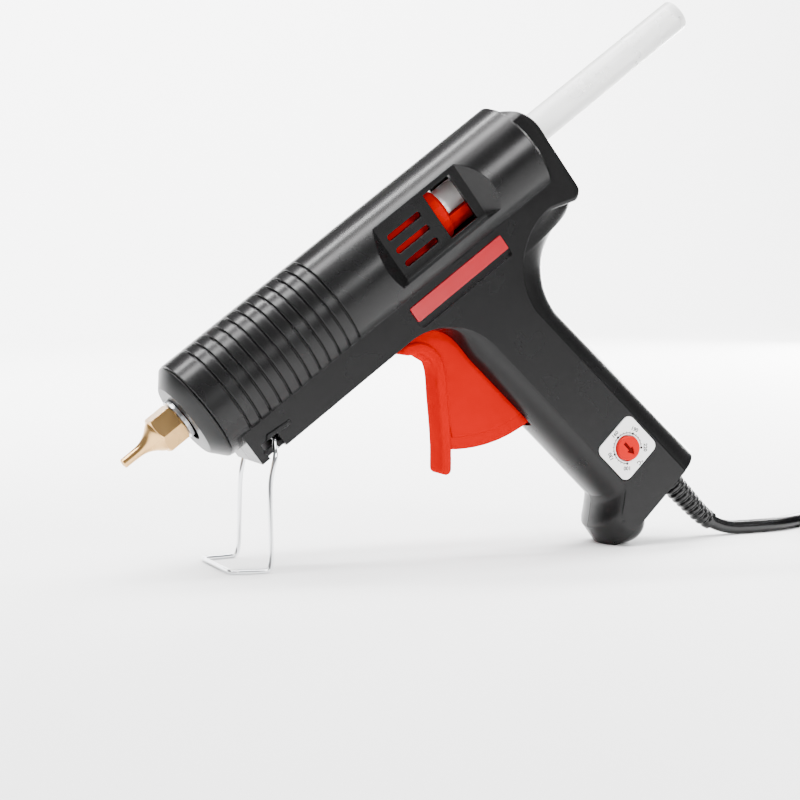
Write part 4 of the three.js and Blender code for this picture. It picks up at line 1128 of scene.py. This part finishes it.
def make_label():
    """The white plate with its printed scale: an arc, dots, ticks and numbers."""
    outline = rounded_rectangle(LABEL, LABEL_WIDTH, LABEL_LENGTH, LABEL_CORNER, LABEL_TURN, 10)
    plate = prism("label_panel", outline, FACE, -HALF_WIDTH + 0.5, 0.15, 2)
    subtract(plate, rod_across("hole", *LABEL, FACE - 1, FACE + 3, KNOB_RADIUS + 0.4))
    place(plate, GUN, "gun", "label_white", ["label_plate"], 30)

    first = SCALE_MIDDLE + SCALE_SWEEP / 2
    last = SCALE_MIDDLE - SCALE_SWEEP / 2
    ring = arc(LABEL, SCALE_RADIUS, first, last, 60) + arc(LABEL, SCALE_RADIUS - 0.28, last, first, 60)
    scale_arc = prism("dial_scale_arc", ring, FACE - 0.02, FACE + 0.02)
    place(scale_arc, GUN, "gun", "label_white", finish="print_black")

    marks = []
    divisions = 20
    for i in range(divisions + 1):
        degrees = lerp(first, last, i / divisions)
        major = i % 5 == 0
        if major:
            middle = polar(LABEL, SCALE_RADIUS - 0.1, degrees)
            marks.append(rod_across("dot", *middle, FACE - 0.03, FACE + 0.02, 0.45, 16))
        else:
            middle = polar(LABEL, SCALE_RADIUS, degrees)
            tick = rounded_rectangle(middle, 0.8, 0.18, 0.05, math.radians(degrees), 1)
            marks.append(prism("tick", tick, FACE - 0.03, FACE + 0.02))
    for word, share in (("100", 0.0), ("130", 0.25), ("160", 0.5), ("190", 0.75), ("220", 1.0)):
        degrees = lerp(first, last, share)
        marks.append(printed_word(word, 1.9, polar(LABEL, WORD_RADIUS, degrees), degrees - 90))
    marks.append(printed_word("°C", 2.1, polar(LABEL, WORD_RADIUS, SCALE_MIDDLE + 180), SCALE_MIDDLE + 90))
    place(join("dial_marks", marks), GUN, "gun", "label_white", finish="print_black")


def make_knob():
    """The round knob with an arrow sunk into its top, and a dark red sheet on the arrow's floor as painted
    shade.
    """
    top = -HALF_WIDTH - 1.6
    knob = rod_across("dial_knob", *LABEL, top, -HALF_WIDTH + 2.2, KNOB_RADIUS, 96, 0.5)
    shaft, head = 0.55, 1.5
    direction = math.radians(SCALE_MIDDLE + 180)
    arrow = [(-2.7, -shaft), (0.3, -shaft), (0.3, -head), (2.9, 0), (0.3, head), (0.3, shaft), (-2.7, shaft)]
    turn = Matrix.Rotation(direction, 2)
    outline = [tuple(turn @ Vector(point) + Vector(LABEL)) for point in arrow]
    subtract(knob, prism("arrow_cut", outline, top - 1, top + 0.35))
    place(knob, GUN, "knob", "knob_red", ["temperature_knob"], 30)
    # Painted shade: a darker red sheet on the sunk arrow's floor stands in for the shade in the recess.
    shade_sheet = prism("dial_arrow_painted_shade", inset(anticlockwise(outline), 0.06), top + 0.2, top + 0.34)
    place(shade_sheet, GUN, "knob", "knob_red", finish="arrow_painted_shade")


make_label()
make_knob()


# -------------------- wire stand

def make_stand():
    """The bent wire: two legs from the pivot and a U-shaped foot, one half drawn and mirrored."""
    pivot = GUN @ Vector((STAND_PIVOT[0], 0, STAND_PIVOT[1]))
    foot = -(pivot.z - WIRE_RADIUS)
    half = [
        (0, 7.4, 0), (0, 11.2, 0), (-0.3, 12.6, -1.6), (-0.9, 14.9, -5), (-2.8, 15.4, -14),
        (-3.7, 17.2, -41.0), (-4.6, 17.3, foot + 0.2), (-6, 17.2, foot), (-13.6, 15.8, foot),
        (-15.6, 15.4, foot), (-16.4, 14.2, foot), (-16.5, 12, foot),
    ]
    near = [(x, -y, z) for x, y, z in half]
    points = [Vector(point) + pivot for point in [*near, (-16.5, 0, foot), *half[::-1]]]
    line = smooth_line(points, 8)
    wire = sweep("stand_bent_wire", line, lambda share: WIRE_RADIUS, 20)
    place(wire, STANDING, "stand", "chrome", ["stand_wire"], 60)


make_stand()


# -------------------- the other parts keep their shape

def dress_cad_nodes():
    """Every remaining part gets its finish and smooth shading; all but the return spring and heater leads
    get slightly rounded edges.
    """
    slots = {entry["node"]: entry["material_slot"] for entry in frame["record"]["subparts"]}
    for name, obj in frame["nodes"].items():
        if obj.hide_render:
            continue
        obj.data.materials.clear()
        obj.data.materials.append(MATERIALS[slots[name]])
        smooth(obj, 30)
        if name != "return_spring" and not name.startswith("heater_lead"):
            soften(obj, 0.12 * MM)


dress_cad_nodes()


# -------------------- floor and light

def stage_material():
    """A pale floor with an uneven, mostly matt surface."""
    material, tree, shader = principled("pale_floor")
    noise = tree.nodes.new("ShaderNodeTexNoise")
    noise.inputs["Scale"].default_value = 3
    ramp = tree.nodes.new("ShaderNodeMapRange")
    ramp.inputs["To Min"].default_value = 0.6
    ramp.inputs["To Max"].default_value = 0.7
    tree.links.new(noise.outputs["Fac"], ramp.inputs["Value"])
    tree.links.new(ramp.outputs["Result"], shader.inputs["Roughness"])
    shader.inputs["Base Color"].default_value = (0.88, 0.88, 0.88, 1)
    shader.inputs["Specular IOR Level"].default_value = 0.2
    return material


def make_floor():
    """A floor that curves up into a low wall behind the object, in metres."""
    half_width = 4.0
    front = -3.0
    back = 1.3
    curve_radius = 0.55
    profile = [(front, 0), (back, 0)]
    profile += [(y, z + curve_radius) for y, z in arc((back, 0), curve_radius, -90, 0, 24)][1:]
    profile.append((back + curve_radius, curve_radius + 0.1))
    vertices = [(x, y, z - 0.00002) for x in (-half_width, half_width) for y, z in profile]
    count = len(profile)
    faces = [(i, i + count, i + count + 1, i + 1) for i in range(count - 1)]
    floor = new_object("floor", vertices, faces)
    smooth(floor, 60)
    floor.data.materials.append(stage_material())


def area_light(name, position, target, size, power, along=(1, 0, 0)):
    """A rectangular lamp facing a target, with its first side along a direction."""
    data = bpy.data.lights.new(name, "AREA")
    data.shape = "RECTANGLE"
    data.size, data.size_y = size
    data.energy = power
    back = (Vector(position) - Vector(target)).normalized()
    side = (Vector(along) - back * back.dot(Vector(along))).normalized()
    turn = Matrix((side, back.cross(side), back)).transposed()
    light = add_object(name, data)
    light.matrix_world = Matrix.Translation(position) @ turn.to_4x4()


def make_light():
    """Lamps above, in front and low behind, one over the floor and one on the wall."""
    world = bpy.data.worlds.new("studio")
    world.use_nodes = True
    background = world.node_tree.nodes["Background"]
    background.inputs["Color"].default_value = (1, 1, 1, 1)
    background.inputs["Strength"].default_value = 0.35
    bpy.context.scene.world = world
    middle = (0, 0, 0.09)
    area_light("overhead", (-0.4, -0.06, 1.05), middle, (0.9, 0.2), 18)
    area_light("front", (0.5, -1.8, 1.0), middle, (0.7, 0.5), 36)
    area_light("rim", (1.0, 0.85, 0.3), (0.05, 0, 0.1), (0.35, 0.8), 34, along=(0.65, -0.76, 0))
    area_light("floor_wash", (0.2, -0.2, 2.2), middle, (1.6, 1.6), 80)
    area_light("backdrop", (0.4, 0.5, 1.3), (0.5, 1.85, 0.1), (2.4, 0.4), 190)


make_floor()
make_light()
